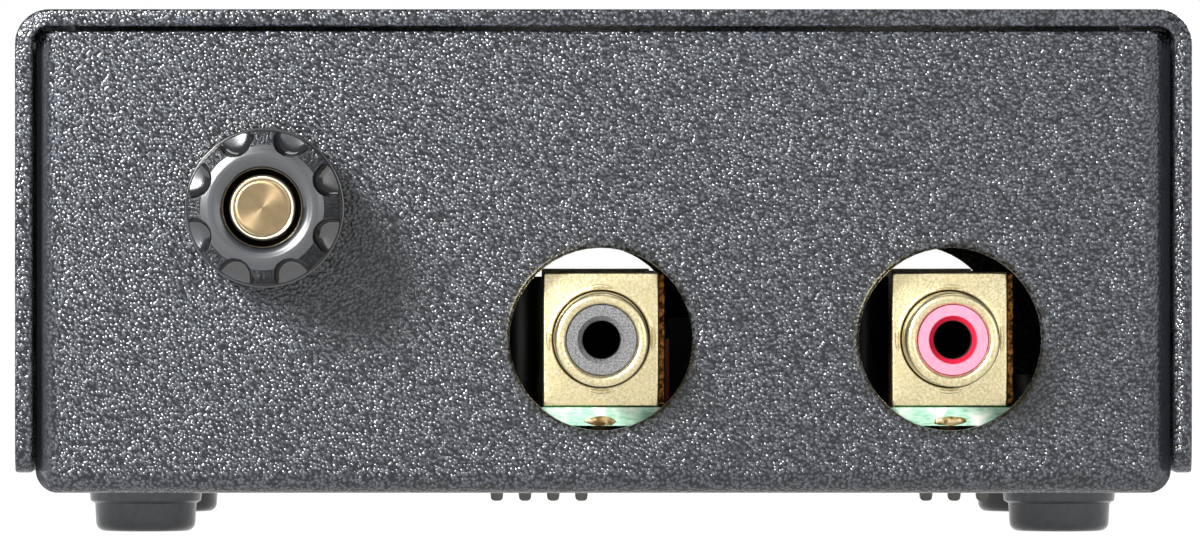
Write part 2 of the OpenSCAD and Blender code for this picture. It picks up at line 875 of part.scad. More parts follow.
module ground_stud() {
    color(brass)
        at_ground() {
            rod_y(stud_d / 2, -stud_reach + stud_chamfer, 0);
            rod_y(stud_collar_d / 2, -stud_collar_h, 0);
            rod_y(stud_tail_d / 2, 0, tray_sheet + stud_tail_length);
            translate([0, -stud_reach + stud_chamfer, 0])
                rotate([90, 0, 0])
                    cylinder(d1 = stud_d, d2 = stud_end_d, h = stud_chamfer);
        }
}

module ground_washer() {
    color(steel)
        at_ground()
            difference() {
                rod_y(ground_washer_d / 2, nut_base, washer_front);
                rod_y(insert_d / 2 + running_gap, nut_base - ground_washer_h, 0);
            }
}

// Half section of the thumb nut: a thin rim, a tapered skirt, and a crowned ring as its face
module nut_section() {
    bore = insert_d / 2 + seat_gap;
    mouth = nut_mouth_d / 2;
    crown_start = nut_length - nut_crown;
    intersection() {
        polygon([[bore, 0], [nut_base_d / 2, 0], [nut_base_d / 2, nut_rim_h],
                 [nut_skirt_d / 2, nut_rim_h + (nut_base_d - nut_skirt_d) / 2],
                 [nut_face_d / 2, nut_length], [mouth, nut_length],
                 [mouth, insert_length], [bore, insert_length]]);
        union() {
            square([nut_base_d, crown_start]);
            translate([nut_ridge_d / 2, crown_start])
                circle(nut_crown);
        }
    }
}

module ground_nut() {
    color(smoke_plastic)
        at_ground()
            difference() {
                translate([0, nut_base, 0])
                    turned_y()
                        nut_section();
                for (turn = [0 : scallops - 1])
                    rotate([0, 180 / scallops + turn * 360 / scallops, 0])
                        translate([scallop_place, 0, 0])
                            rod_y(scallop_r, nut_front - nut_rim_h, nut_base - 1.4 * nut_rim_h);
            }
}

module ground_nut_insert() {
    color(brass)
        at_ground()
            difference() {
                rod_y(insert_d / 2, insert_front, washer_front);
                rod_y(stud_d / 2 + running_gap, nut_front, 0);
            }
}

module ground_tag() {
    color(steel)
        at_ground()
            along_y(tray_sheet, tag_back)
                difference() {
                    union() {
                        circle(d = tag_d);
                        translate([-tag_width / 2, -tag_length + tag_width / 2])
                            square([tag_width, tag_length - tag_width / 2]);
                        translate([0, -tag_length + tag_width / 2])
                            circle(d = tag_width);
                    }
                    circle(d = stud_tail_d + 2 * hole_gap);
                }
}

module ground_lock_nut() {
    color(brass)
        at_ground()
            translate([0, tag_back, 0])
                rotate([-90, 0, 0])
                    difference() {
                        hexagon(lock_nut_af, lock_nut_h);
                        translate([0, 0, -lock_nut_h])
                            cylinder(d = stud_tail_d + 2 * running_gap, h = 3 * lock_nut_h);
                    }
}

// Wire from the solder tag: straight back, round a bend and down into the board
module ground_wire() {
    color("darkgreen")
        at_end(-1)
            translate([ground_x, 0, 0]) {
                translate([0, 0, tag_tail_z])
                    rod_y(wire_d / 2, tag_back, wire_y - wire_bend);
                translate([0, wire_y - wire_bend, tag_tail_z - wire_bend])
                    rotate([90, 0, 90])
                        rotate_extrude(angle = 90)
                            translate([wire_bend, 0])
                                circle(d = wire_d);
                translate([0, wire_y, board_bottom - tail_out])
                    cylinder(d = wire_d, h = tag_tail_z - wire_bend - board_bottom + tail_out);
            }
}

// ---------------------------------------------------------------- switch banks

function slider_x(bank_x, number) = bank_x + (number - (sliders + 1) / 2) * slider_pitch;

module switch_bank(bank_x) {
    color(black_plastic)
        difference() {
            translate([bank_x - bank_width / 2, front_y + bank_y - bank_length / 2, bank_face])
                cube([bank_width, bank_length, board_bottom - bank_face]);
            for (number = [1 : sliders])
                translate([slider_x(bank_x, number) - slider_width / 2 - slider_gap,
                           front_y + bank_y - slot_length / 2, bank_face - slot_depth])
                    cube([slider_width + 2 * slider_gap, slot_length, 2 * slot_depth]);
        }
}

// X-Z outline of a slider: a straight foot in its slot and a knob that narrows to two rounded corners
module slider_outline() {
    half = slider_width / 2;
    top = bank_face + slot_depth - slider_gap;
    tip = tray_bottom - slider_out;
    corner_x = half - slider_taper - slider_corner;
    corner = [for (turn = [0 : 30 : 90])
              [corner_x + slider_corner * cos(turn), tip + slider_corner - slider_corner * sin(turn)]];
    polygon([[-half, top], [half, top], [half, tray_bottom], each corner,
             each [for (place = [len(corner) - 1 : -1 : 0]) [-corner[place][0], corner[place][1]]],
             [-half, tray_bottom]]);
}

// At rest a slider is at the end of its slot that is nearer the input panel
module slider(bank_x, number) {
    start = front_y + bank_y - slot_length / 2 + slider_gap;
    color(knob_grey)
        translate([slider_x(bank_x, number), 0, 0])
            along_y(start, start + slider_length)
                slider_outline();
}

// ---------------------------------------------------------------- power inlet

module inlet_housing() {
    color(black_plastic)
        at_end(1)
            difference() {
                union() {
                    translate([inlet_x - inlet_width / 2, jack_front, board_top])
                        cube([inlet_width, inlet_depth, inlet_height]);
                    translate([inlet_x, 0, inlet_z])
                        rod_y(inlet_nose_d / 2, -inlet_nose_out, jack_front + jack_wall);
                }
                translate([inlet_x, 0, inlet_z]) {
                    rod_y(inlet_bore_d / 2, -2 * inlet_nose_out, inlet_bore_floor);
                    rod_y(inlet_shank_d / 2 + seat_gap, 0, jack_front + inlet_depth + jack_wall);
                }
            }
}

module inlet_pin() {
    tip_r = inlet_pin_d / 4;
    color(steel)
        at_end(1)
            translate([inlet_x, 0, inlet_z]) {
                rod_y(inlet_pin_d / 2, -inlet_nose_out + inlet_pin_recess + tip_r,
                      inlet_bore_floor + seat_gap);
                rod_y(inlet_shank_d / 2, inlet_bore_floor, jack_front + inlet_depth);
                translate([0, -inlet_nose_out + inlet_pin_recess + tip_r, 0])
                    rotate([90, 0, 0])
                        cylinder(r1 = inlet_pin_d / 2, r2 = tip_r, h = tip_r);
            }
}

// ---------------------------------------------------------------- board components

// Places children on the board at each of a list of places
module on_board(places) {
    for (place = places)
        translate([place[0], front_y + place[1], board_top])
            children();
}

// Round capacitor: a can with a groove near its foot
module can(d) {
    difference() {
        cylinder(d = d, h = can_height);
        translate([0, 0, 1.5 * groove_height])
            difference() {
                cylinder(d = 2 * d, h = groove_height);
                cylinder(d = d - 2 * groove_depth, h = groove_height);
            }
    }
}

module signal_capacitors() {
    color(black_plastic)
        on_board(signal_cans)
            can(can_d);
}

module supply_capacitors() {
    color(black_plastic)
        on_board(supply_cans)
            can(supply_can_d);
}

module film_capacitors() {
    color(box_red)
        on_board(film_boxes)
            translate([-box_length / 2, -box_width / 2, 0])
                cube([box_length, box_width, box_height]);
}

module chip_sockets() {
    color(black_plastic)
        on_board(chip_places)
            difference() {
                translate([-chip_length / 2, -chip_width / 2 - socket_border, 0])
                    cube([chip_length, chip_width + 2 * socket_border, socket_height]);
                translate([-chip_length / 4, -chip_width / 4, -socket_height])
                    cube([chip_length / 2, chip_width / 2, 3 * socket_height]);
            }
}

// Amplifier chip with its half-round notch and its eight legs bent down into the socket
module amplifier_chips() {
    legs_width = chip_width + 2 * chip_leg_out;
    color(black_plastic)
        on_board(chip_places)
            translate([0, 0, socket_height]) {
                difference() {
                    translate([-chip_length / 2, -chip_width / 2, 0])
                        cube([chip_length, chip_width, chip_height]);
                    translate([-chip_length / 2, 0, chip_height / 2])
                        cylinder(d = chip_width / 3, h = chip_height);
                }
                for (leg = [-1.5 : 1.5])
                    translate([leg * chip_leg_pitch - chip_leg_width / 2, -legs_width / 2, 0])
                        cube([chip_leg_width, legs_width, chip_height / 2]);
            }
}

// Resistor lying along X over the board on its two bent legs
module resistors() {
    lift = resistor_d / 2 + lead_d / 2;
    color("tan")
        on_board(resistor_places) {
            translate([-resistor_length / 2, 0, lift])
                rotate([0, 90, 0])
                    cylinder(d = resistor_d, h = resistor_length, $fn = 32);
            translate([-resistor_span / 2, 0, lift])
                rotate([0, 90, 0])
                    cylinder(d = lead_d, h = resistor_span, $fn = 16);
            for (side = [-1, 1])
                translate([side * (resistor_span - lead_d) / 2, 0, 0])
                    cylinder(d = lead_d, h = lift, $fn = 16);
        }
}

// Regulator: a flat-faced body on three legs
module regulators() {
    leg_height = regulator_height - regulator_d;
    color(black_plastic)
        on_board(regulator_places) {
            translate([0, 0, leg_height])
                difference() {
                    cylinder(d = regulator_d, h = regulator_d);
                    translate([-regulator_d, regulator_d / 4, -regulator_d])
                        cube([2 * regulator_d, regulator_d, 3 * regulator_d]);
                }
            for (leg = [-1 : 1])
                translate([leg * regulator_leg_pitch, 0, 0])
                    cylinder(d = lead_d, h = leg_height + regulator_d / 2, $fn = 16);
        }
}

// ---------------------------------------------------------------- nodes

cover();
chassis_tray();
cover_screws();
circuit_board();
board_standoffs();
board_screws();
foot(-1, -1);  // foot_front_left
foot(1, -1);  // foot_front_right
foot(-1, 1);  // foot_rear_left
foot(1, 1);  // foot_rear_right
foot_screws();
ground_stud();
ground_washer();
ground_nut();
ground_nut_insert();
ground_tag();
ground_lock_nut();
ground_wire();
jack_shell(-1, jack_left_x);  // input_left_shell
jack_insulator(-1, jack_left_x, black_plastic);  // input_left_insulator
jack_contact(-1, jack_left_x);  // input_left_contact
jack_shell(-1, jack_right_x);  // input_right_shell
jack_insulator(-1, jack_right_x, pin_red);  // input_right_insulator
jack_contact(-1, jack_right_x);  // input_right_contact
jack_shell(1, jack_left_x);  // output_left_shell
jack_insulator(1, jack_left_x, black_plastic);  // output_left_insulator
jack_contact(1, jack_left_x);  // output_left_contact
jack_shell(1, jack_right_x);  // output_right_shell
jack_insulator(1, jack_right_x, pin_red);  // output_right_insulator
jack_contact(1, jack_right_x);  // output_right_contact
switch_bank(bank_left_x);  // left_switch_bank
switch_bank(bank_right_x);  // right_switch_bank
slider(bank_left_x, 1);  // left_slider_1
slider(bank_left_x, 2);  // left_slider_2
slider(bank_left_x, 3);  // left_slider_3
slider(bank_left_x, 4);  // left_slider_4
slider(bank_right_x, 1);  // right_slider_1
slider(bank_right_x, 2);  // right_slider_2
slider(bank_right_x, 3);  // right_slider_3
slider(bank_right_x, 4);  // right_slider_4
inlet_housing();
inlet_pin();
signal_capacitors();
supply_capacitors();
film_capacitors();
chip_sockets();
amplifier_chips();
resistors();
regulators();
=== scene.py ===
# %% [markdown]
# # A small phono preamp, dressed for a studio picture
#
# The object is a folded steel box, 103 mm wide, seen from its input end: a thumb nut for the ground wire and
# two gold-plated jacks behind round holes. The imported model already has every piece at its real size. This
# lesson gives each piece its finish, rounds the edges that a press and a coat of powder round, and adds the
# small things that a CAD model leaves out, such as threads, staking marks and solder.

import cmath
import json
import math

import bmesh
import bpy
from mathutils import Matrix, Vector, noise


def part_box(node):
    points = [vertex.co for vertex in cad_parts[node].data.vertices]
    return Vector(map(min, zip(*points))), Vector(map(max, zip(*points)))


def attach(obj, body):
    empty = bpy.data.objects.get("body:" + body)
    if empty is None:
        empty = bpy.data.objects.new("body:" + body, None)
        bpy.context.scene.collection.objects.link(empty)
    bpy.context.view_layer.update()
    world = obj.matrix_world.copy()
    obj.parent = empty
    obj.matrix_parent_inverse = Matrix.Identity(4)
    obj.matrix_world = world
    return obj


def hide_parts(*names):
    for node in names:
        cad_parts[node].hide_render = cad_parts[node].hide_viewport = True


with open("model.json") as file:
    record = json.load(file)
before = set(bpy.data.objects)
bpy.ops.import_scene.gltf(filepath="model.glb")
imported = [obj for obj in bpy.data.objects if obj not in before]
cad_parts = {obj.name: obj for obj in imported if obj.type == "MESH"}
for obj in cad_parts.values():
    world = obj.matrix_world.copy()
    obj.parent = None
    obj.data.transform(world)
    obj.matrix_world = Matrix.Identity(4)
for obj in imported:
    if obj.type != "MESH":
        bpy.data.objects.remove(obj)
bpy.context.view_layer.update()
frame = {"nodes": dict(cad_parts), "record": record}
nodes = frame["nodes"]
MM = 0.001

# %% [markdown]
# ## The camera
#
# The picture was taken from straight in front, a little above a metre away: the jack cases look smaller than
# the holes in front of them only by that much perspective. A long lens gives the same picture here. The
# camera stands level with the jacks' upper edge, and the lens is shifted, as on a view camera, so that the
# box's upright edges stay upright.

# %% Set up the camera
CAMERA_PLACE = Vector((-6.6, -1172.25, 27)) * MM
CAMERA_LENS = 384.4

camera_data = bpy.data.cameras.new("view_camera")
camera_data.lens = CAMERA_LENS
camera_data.sensor_width = 36
camera_data.shift_x = 0.06
camera_data.shift_y = -0.03525
camera_data.clip_end = 20
camera = bpy.data.objects.new("view_camera", camera_data)
camera.location = CAMERA_PLACE
camera.rotation_euler = (math.radians(90), 0, 0)
bpy.context.scene.collection.objects.link(camera)
bpy.context.scene.camera = camera
bpy.context.scene.view_settings.view_transform = "Standard"

# %% [markdown]
# ## The world
#
# A catalogue picture has a white surround and soft light. The white could come from much light on a pale
# backdrop, but that would bleach the object as well. So the world has two strengths: a weak one, which lights
# the object, and white, which only the camera sees, directly or through glass. Polished pieces need something
# to mirror. They see white in front and behind, where a studio has its backdrop and its reflectors, and a
# darker room at the sides and above, which gives the plastic nut and the gold their dark edges. What is
# mirrored also sets how light the valleys of the powder coat look.

# %% Find out what kind of ray is asking
def larger_of(tree, first, second):
    """The larger of two outputs."""
    larger = tree.nodes.new("ShaderNodeMath")
    larger.operation = "MAXIMUM"
    tree.links.new(first, larger.inputs[0])
    tree.links.new(second, larger.inputs[1])
    return larger.outputs[0]


def seen_directly(tree):
    """1 for rays from the camera, from a mirror or through glass, 0 for the rays that only carry light."""
    rays = tree.nodes.new("ShaderNodeLightPath").outputs
    mirrored_too = larger_of(tree, rays["Is Camera Ray"], rays["Is Glossy Ray"])
    return larger_of(tree, mirrored_too, rays["Is Transmission Ray"])


# %% Light the world
WORLD_LIGHT = 0.14
WORLD_COLOUR = (0.96, 0.98, 1, 1)
SIDE_REFLECTION = 0.3
SIDES_END = 0.45
FRONT_STARTS = 0.85

world = bpy.data.worlds.new("studio")
world.use_nodes = True
bpy.context.scene.world = world
tree = world.node_tree
tree.nodes.clear()
lighting = tree.nodes.new("ShaderNodeBackground")
lighting.inputs["Color"].default_value = WORLD_COLOUR
lighting.inputs["Strength"].default_value = WORLD_LIGHT
backdrop = tree.nodes.new("ShaderNodeBackground")
backdrop.inputs["Color"].default_value = (1, 1, 1, 1)

way = tree.nodes.new("ShaderNodeSeparateXYZ")
tree.links.new(tree.nodes.new("ShaderNodeTexCoord").outputs["Generated"], way.inputs[0])
towards_an_end = tree.nodes.new("ShaderNodeMath")
towards_an_end.operation = "ABSOLUTE"
tree.links.new(way.outputs["Y"], towards_an_end.inputs[0])
mirrored = tree.nodes.new("ShaderNodeMapRange")
mirrored.inputs["From Min"].default_value = SIDES_END
mirrored.inputs["From Max"].default_value = FRONT_STARTS
mirrored.inputs["To Min"].default_value = SIDE_REFLECTION
tree.links.new(towards_an_end.outputs[0], mirrored.inputs["Value"])
rays = tree.nodes.new("ShaderNodeLightPath").outputs
seen_white = larger_of(tree, mirrored.outputs[0], rays["Is Camera Ray"])
seen_white = larger_of(tree, seen_white, rays["Is Transmission Ray"])
tree.links.new(seen_white, backdrop.inputs["Strength"])

either = tree.nodes.new("ShaderNodeMixShader")
tree.links.new(seen_directly(tree), either.inputs[0])
tree.links.new(lighting.outputs[0], either.inputs[1])
tree.links.new(backdrop.outputs[0], either.inputs[2])
tree.links.new(either.outputs[0], tree.nodes.new("ShaderNodeOutputWorld").inputs[0])
print("world strength as light:", WORLD_LIGHT)

# %% [markdown]
# ## The floor
#
# The floor is a sheet of pale paper. It must look as white as the backdrop and still keep the object's
# shadow. So most of it shines for the camera, for mirrors and for glass, and the rest takes light and shadow
# as paper does. To all other rays it is paper alone, so it adds no light of its own.

# %% Lay the floor
FLOOR_HALF = 3.0
FLOOR_SHINE = 0.9
SHINE_STRENGTH = 1.12

floor_corners = [(-FLOOR_HALF, -FLOOR_HALF, 0), (FLOOR_HALF, -FLOOR_HALF, 0),
                 (FLOOR_HALF, FLOOR_HALF, 0), (-FLOOR_HALF, FLOOR_HALF, 0)]
floor_mesh = bpy.data.meshes.new("floor")
floor_mesh.from_pydata(floor_corners, [], [(0, 1, 2, 3)])
floor = bpy.data.objects.new("floor", floor_mesh)
bpy.context.scene.collection.objects.link(floor)

paper = bpy.data.materials.new("floor paper")
paper.use_nodes = True
tree = paper.node_tree
matt = tree.nodes["Principled BSDF"]
matt.inputs["Base Color"].default_value = (0.93, 0.93, 0.93, 1)
matt.inputs["Roughness"].default_value = 0.9
matt.inputs["Specular IOR Level"].default_value = 0.2
shine = tree.nodes.new("ShaderNodeEmission")
shine.inputs["Strength"].default_value = SHINE_STRENGTH
share = tree.nodes.new("ShaderNodeMath")
share.operation = "MULTIPLY"
share.inputs[1].default_value = FLOOR_SHINE
tree.links.new(seen_directly(tree), share.inputs[0])
either = tree.nodes.new("ShaderNodeMixShader")
tree.links.new(share.outputs[0], either.inputs[0])
tree.links.new(matt.outputs[0], either.inputs[1])
tree.links.new(shine.outputs[0], either.inputs[2])
tree.links.new(either.outputs[0], tree.nodes["Material Output"].inputs[0])
floor_mesh.materials.append(paper)
print("floor, metres across:", 2 * FLOOR_HALF)

# %% [markdown]
# ## The lamps
#
# One lamp does most of the work. It hangs to the upper left in front of the box, because the thumb nut throws
# its shadow to the lower right. Seen from the panel it is only some 13 degrees wide, so the shadow keeps an
# edge and each pebble of the powder coat mirrors a small bright point. It hangs near, so the light fades
# towards the right. A weak lamp at the right fills in, one above lights the top, and one behind lights the
# other end. All are low: a colour should come out about as it is written.

# %% Hang the lamps
def hang_lamp(name, aim, direction, distance, size, watts):
    """A square soft box that looks at aim from a direction, sizes in metres."""
    data = bpy.data.lights.new(name, "AREA")
    data.shape = "SQUARE"
    data.size = size
    data.energy = watts
    lamp = bpy.data.objects.new(name, data)
    way = Vector(direction).normalized()
    lamp.location = Vector(aim) + way * distance
    lamp.rotation_euler = way.to_track_quat("Z", "Y").to_euler()
    bpy.context.scene.collection.objects.link(lamp)
    width = 2 * math.degrees(math.atan(size / 2 / distance))
    print(name, "looks", round(width), "degrees wide from what it lights")


PANEL_MIDDLE = Vector((0, -50, 25)) * MM
REAR_MIDDLE = Vector((0, 58, 25)) * MM
hang_lamp("key_lamp", PANEL_MIDDLE, direction=(-0.68, -1, 0.5), distance=0.40, size=0.09, watts=2.9)
hang_lamp("fill_lamp", PANEL_MIDDLE, direction=(1.0, -1, 0.15), distance=0.40, size=0.30, watts=0.45)
hang_lamp("top_lamp", PANEL_MIDDLE, direction=(0.1, 0.3, 1), distance=0.60, size=0.40, watts=1.2)
hang_lamp("rear_lamp", REAR_MIDDLE, direction=(0.56, 1, 0.44), distance=0.45, size=0.18, watts=2.2)

# %% [markdown]
# ## Finishes
#
# Every finish is a procedural material: noise for the grain, a colour that wanders a little, and a bump. Each
# takes a dozen nodes and as many links, so the small class below keeps the wiring short. Sizes of grain are
# given in millimetres of the real surface, because that is how a maker knows them: a noise texture's Scale is
# how many cells it has in a metre.

# %% A colour as a picture gives it
def rgb(red, green, blue):
    """A colour on the 0 to 255 scale of a picture, as the linear values that a shader takes."""
    def linear(value):
        value /= 255
        return value / 12.92 if value <= 0.04045 else ((value + 0.055) / 1.055) ** 2.4
    return (linear(red), linear(green), linear(blue), 1.0)


# %% A short way to wire a finish
class Finish:
    """A material in the making, with short calls for the nodes that most finishes need."""

    def __init__(self, name, **surface):
        self.material = bpy.data.materials.new(name)
        self.material.use_nodes = True
        self.tree = self.material.node_tree
        self.shader = self.tree.nodes["Principled BSDF"]
        for label, value in surface.items():
            self.shader.inputs[label.replace("_", " ")].default_value = value

    def add(self, kind, inputs=(), **settings):
        """Adds a node. inputs are pairs of socket and value, where a value may be another node's output."""
        made = self.tree.nodes.new(kind)
        for label, value in settings.items():
            setattr(made, label, value)
        for socket, value in inputs:
            if isinstance(value, bpy.types.NodeSocket):
                self.tree.links.new(value, made.inputs[socket])
            else:
                made.inputs[socket].default_value = value
        return made

    def place(self):
        return self.add("ShaderNodeTexCoord").outputs["Object"]

    def grain(self, size_mm, detail=2.0, roughness=0.5, stretch=None, distortion=0.0):
        """Noise whose cells measure size_mm, or that times stretch along each axis."""
        where = self.place()
        if stretch:
            shrink = [1 / share for share in stretch]
            where = self.add("ShaderNodeMapping", [("Vector", where), ("Scale", shrink)]).outputs[0]
        inputs = [("Vector", where), ("Scale", 1 / (size_mm * MM)), ("Detail", detail),
                  ("Roughness", roughness), ("Distortion", distortion)]
        return self.add("ShaderNodeTexNoise", inputs).outputs[0]

    def lathe_marks(self, x, z, size_mm):
        """Noise that changes only with the distance from an axis along Y, as the marks of turning do."""
        inputs = [("W", self.from_axis(x, z)), ("Scale", 1 / (size_mm * MM)), ("Detail", 3)]
        return self.add("ShaderNodeTexNoise", inputs, noise_dimensions="1D").outputs[0]

    def shake(self, size_mm, reach_mm):
        """A vector that wanders by up to half of reach_mm each way, to bend a pattern."""
        cloud = self.add("ShaderNodeTexNoise", [("Vector", self.place()), ("Scale", 1 / (size_mm * MM))])
        level = self.add("ShaderNodeVectorMath", [(0, cloud.outputs["Color"]), (1, (0.5, 0.5, 0.5))],
                         operation="SUBTRACT")
        return self.add("ShaderNodeVectorMath", [(0, level.outputs[0]), (1, (reach_mm * MM,) * 3)],
                        operation="MULTIPLY").outputs[0]

    def pebbles(self, size_mm, where):
        """Domes packed side by side: 1 at each top and 0 in the valleys."""
        cells = self.add("ShaderNodeTexVoronoi", [("Vector", where), ("Scale", 1 / (size_mm * MM)),
                                                  ("Smoothness", 0.5)], feature="SMOOTH_F1")
        return self.spread(cells.outputs["Distance"], 0.0, 0.75, 1.0, 0.0)

    def math(self, operation, first, second=0.0):
        return self.add("ShaderNodeMath", [(0, first), (1, second)], operation=operation).outputs[0]

    def spread(self, value, low, high, to_low=0.0, to_high=1.0):
        """Stretches the range from low to high over the one from to_low to to_high, held at its ends."""
        inputs = [("Value", value), ("From Min", low), ("From Max", high),
                  ("To Min", to_low), ("To Max", to_high)]
        return self.add("ShaderNodeMapRange", inputs).outputs[0]

    def blend(self, share, first, second):
        """One colour where share is 0, another where it is 1."""
        mixed = self.add("ShaderNodeMix", data_type="RGBA")
        for socket, value in ((mixed.inputs[0], share), (mixed.inputs[6], first), (mixed.inputs[7], second)):
            if isinstance(value, bpy.types.NodeSocket):
                self.tree.links.new(value, socket)
            else:
                socket.default_value = value
        return mixed.outputs[2]

    def facing(self, axis):
        """The surface normal's share along X, Y or Z."""
        geometry = self.add("ShaderNodeNewGeometry")
        return self.add("ShaderNodeSeparateXYZ", [(0, geometry.outputs["Normal"])]).outputs[axis]

    def along(self, axis):
        """The place along X, Y or Z, in metres."""
        return self.add("ShaderNodeSeparateXYZ", [(0, self.place())]).outputs[axis]

    def from_axis(self, x, z):
        """Distance in metres from an axis that runs along Y through x, z in millimetres."""
        across = self.math("SUBTRACT", self.along("X"), x * MM)
        upward = self.math("SUBTRACT", self.along("Z"), z * MM)
        squares = self.math("ADD", self.math("POWER", across, 2), self.math("POWER", upward, 2))
        return self.math("SQRT", squares)

    def set(self, label, value):
        self.tree.links.new(value, self.shader.inputs[label])

    def bump(self, height, depth_mm):
        """Raises the surface by up to depth_mm where height is 1. A second call adds to the first."""
        before = self.shader.inputs["Normal"].links
        inputs = [("Height", height), ("Distance", depth_mm * MM), ("Strength", 1.0)]
        if before:
            inputs.append(("Normal", before[0].from_socket))
        self.set("Normal", self.add("ShaderNodeBump", inputs).outputs[0])


# %% Find the axes that a finish changes round
JACKS = [f"{end}_{side}" for end in ("input", "output") for side in ("left", "right")]
INPUT_JACKS = JACKS[:2]
JACK_AXIS_HEIGHT = 6.0


def node_axis(name):
    """The x and z of the middle of a CAD node in millimetres."""
    low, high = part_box(name)
    middle = (low + high) / (2 * MM)
    return middle.x, middle.z


def jack_axis(jack):
    """The x and z of a jack's axis in millimetres. It lies JACK_AXIS_HEIGHT over the board."""
    return node_axis(jack + "_insulator")[0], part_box("circuit_board")[1].z / MM + JACK_AXIS_HEIGHT


for jack in JACKS:
    print(jack, "axis at x, z in mm:", [round(value, 2) for value in jack_axis(jack)])

# %% [markdown]
# ## Powder coat
#
# The box is coated with a black powder that melts into small glossy pebbles. Three things make its look: a
# relief of domes about 0.3 mm across, a colour that is lighter on the domes than in the valleys, which is
# painted shade in the valleys, and a low roughness, so that the domes which happen to lean towards the lamp
# sparkle. The domes come from a cell texture whose place is shaken by noise, so that no row shows, and a
# second noise makes some flatter.
#
# The relief is calmer in a few places, because powder is drawn thin over an edge: in a ring round each jack
# hole, along the top edge and along the right wall's inner edge, all at the two ends of the box. Past the
# bends of the panels it is calm, since the powder gun hardly reaches the slot between tray and cover, and
# its colour is a lighter grey, painted light that lifts the shaded slot. Each place is a mask from 0 to 1,
# worked out from where a point lies.

# %% Melt the pebbles
PEBBLE = 0.28
SHAKE_CELL = 0.6
SHAKE_REACH = 0.12

powder = Finish("powder coat", Roughness=0.15, IOR=1.52)
places = [(0, powder.place()), (1, powder.shake(SHAKE_CELL, SHAKE_REACH))]
shaken = powder.add("ShaderNodeVectorMath", places, operation="ADD")
domes = powder.pebbles(PEBBLE, shaken.outputs[0])
relief = powder.math("MULTIPLY", domes, powder.spread(powder.grain(0.6), 0.35, 0.65, 0.7, 1.15))
# Dark valleys and lighter domes: painted shade in the valleys between the pebbles.
coat = powder.blend(powder.spread(relief, 0.15, 0.75), rgb(13, 15, 18), rgb(82, 86, 93))
powder.set("Roughness", powder.spread(powder.grain(6), 0.3, 0.7, 0.135, 0.165))
print("finish:", powder.material.name)

# %% Find where the powder lies past a bend
SIDE_BEND_STARTS = 48.2
SIDE_BEND_ENDS = 49.4
TOP_OF_BEND = 43.2
TOP_OF_BEND_ENDS = 42.2
TRAY_HALF = 49.9
SLOT_PAINTED_LIGHT = rgb(74, 76, 80)

off_middle = powder.math("ABSOLUTE", powder.along("X"))
past_side = powder.spread(off_middle, SIDE_BEND_STARTS * MM, SIDE_BEND_ENDS * MM)
under_top = powder.spread(powder.along("Z"), TOP_OF_BEND * MM, TOP_OF_BEND_ENDS * MM)
in_tray = powder.math("LESS_THAN", off_middle, TRAY_HALF * MM)
past_bend = powder.math("MULTIPLY", powder.math("MINIMUM", past_side, under_top), in_tray)
# Painted light: a lighter grey past the bends brightens the shaded slot between tray and cover.
powder.set("Base Color", powder.blend(past_bend, coat, SLOT_PAINTED_LIGHT))
print("the powder is grey from", SIDE_BEND_STARTS, "mm off the middle on")

# %% Calm the powder along the edges
PANEL_MIDDLE_Y = 3.75
NEAR_AN_END = 53.0
HOLE_BAND = 8.5
HOLE_BAND_FADE = 0.12
HOLE_CALM = 0.85
BEND_CALM = 0.85
EDGE_CALM = 0.25
TOP_BAND = 43.5
WALL_BAND = 50.0
PEBBLE_HEIGHT = 0.088
GRAIN_HEIGHT = 0.012

near_top = powder.math("GREATER_THAN", powder.along("Z"), TOP_BAND * MM)
near_wall = powder.math("GREATER_THAN", powder.along("X"), WALL_BAND * MM)
calm = powder.math("MULTIPLY", powder.math("MAXIMUM", near_top, near_wall), EDGE_CALM)
for jack in INPUT_JACKS:
    to_axis = powder.from_axis(*jack_axis(jack))
    at_hole = powder.spread(to_axis, HOLE_BAND * MM, (HOLE_BAND + HOLE_BAND_FADE) * MM, HOLE_CALM, 0)
    calm = powder.math("MAXIMUM", calm, at_hole)
from_middle = powder.math("ABSOLUTE", powder.math("SUBTRACT", powder.along("Y"), PANEL_MIDDLE_Y * MM))
calm = powder.math("MULTIPLY", calm, powder.math("GREATER_THAN", from_middle, NEAR_AN_END * MM))
calm = powder.math("MAXIMUM", calm, powder.math("MULTIPLY", past_bend, BEND_CALM))
rough = powder.math("SUBTRACT", 1, calm)
powder.bump(powder.math("MULTIPLY", relief, rough), PEBBLE_HEIGHT)
powder.bump(powder.math("MULTIPLY", powder.grain(0.16, roughness=0.6), rough), GRAIN_HEIGHT)
print("the pebbles are calm round", len(INPUT_JACKS), "holes and along the edges")

# %% [markdown]
# ## Metals
#
# A metal has no colour of its own under its shine: its base colour tints what it mirrors. Plated sheet isn't
# flat, so the gold gets a fine speckle of a light and a dark tone, a slow change between a cool and a warm
# one, and a bump that breaks its reflections up. Round each input barrel runs a thin groove, where it is
# pressed into its case, and the gold is painted dark along it as painted shade. Parts that lie deep in a hole
# are dull, and painted almost black as painted shade, because no light reaches them.

# %% Gold plate
GROOVE_R = 4.235
GROOVE_HALF_WIDTH = 0.06
GROOVE_FADE = 0.04

gold = Finish("gold plate", Metallic=1.0, Roughness=0.3)
speckle = gold.spread(gold.grain(0.22, detail=3, distortion=0.6), 0.35, 0.65)
plating = gold.blend(speckle, rgb(190, 177, 128), rgb(232, 222, 190))
plating = gold.blend(gold.spread(gold.grain(2.5), 0.35, 0.65, 0, 0.4), plating, rgb(226, 208, 158))
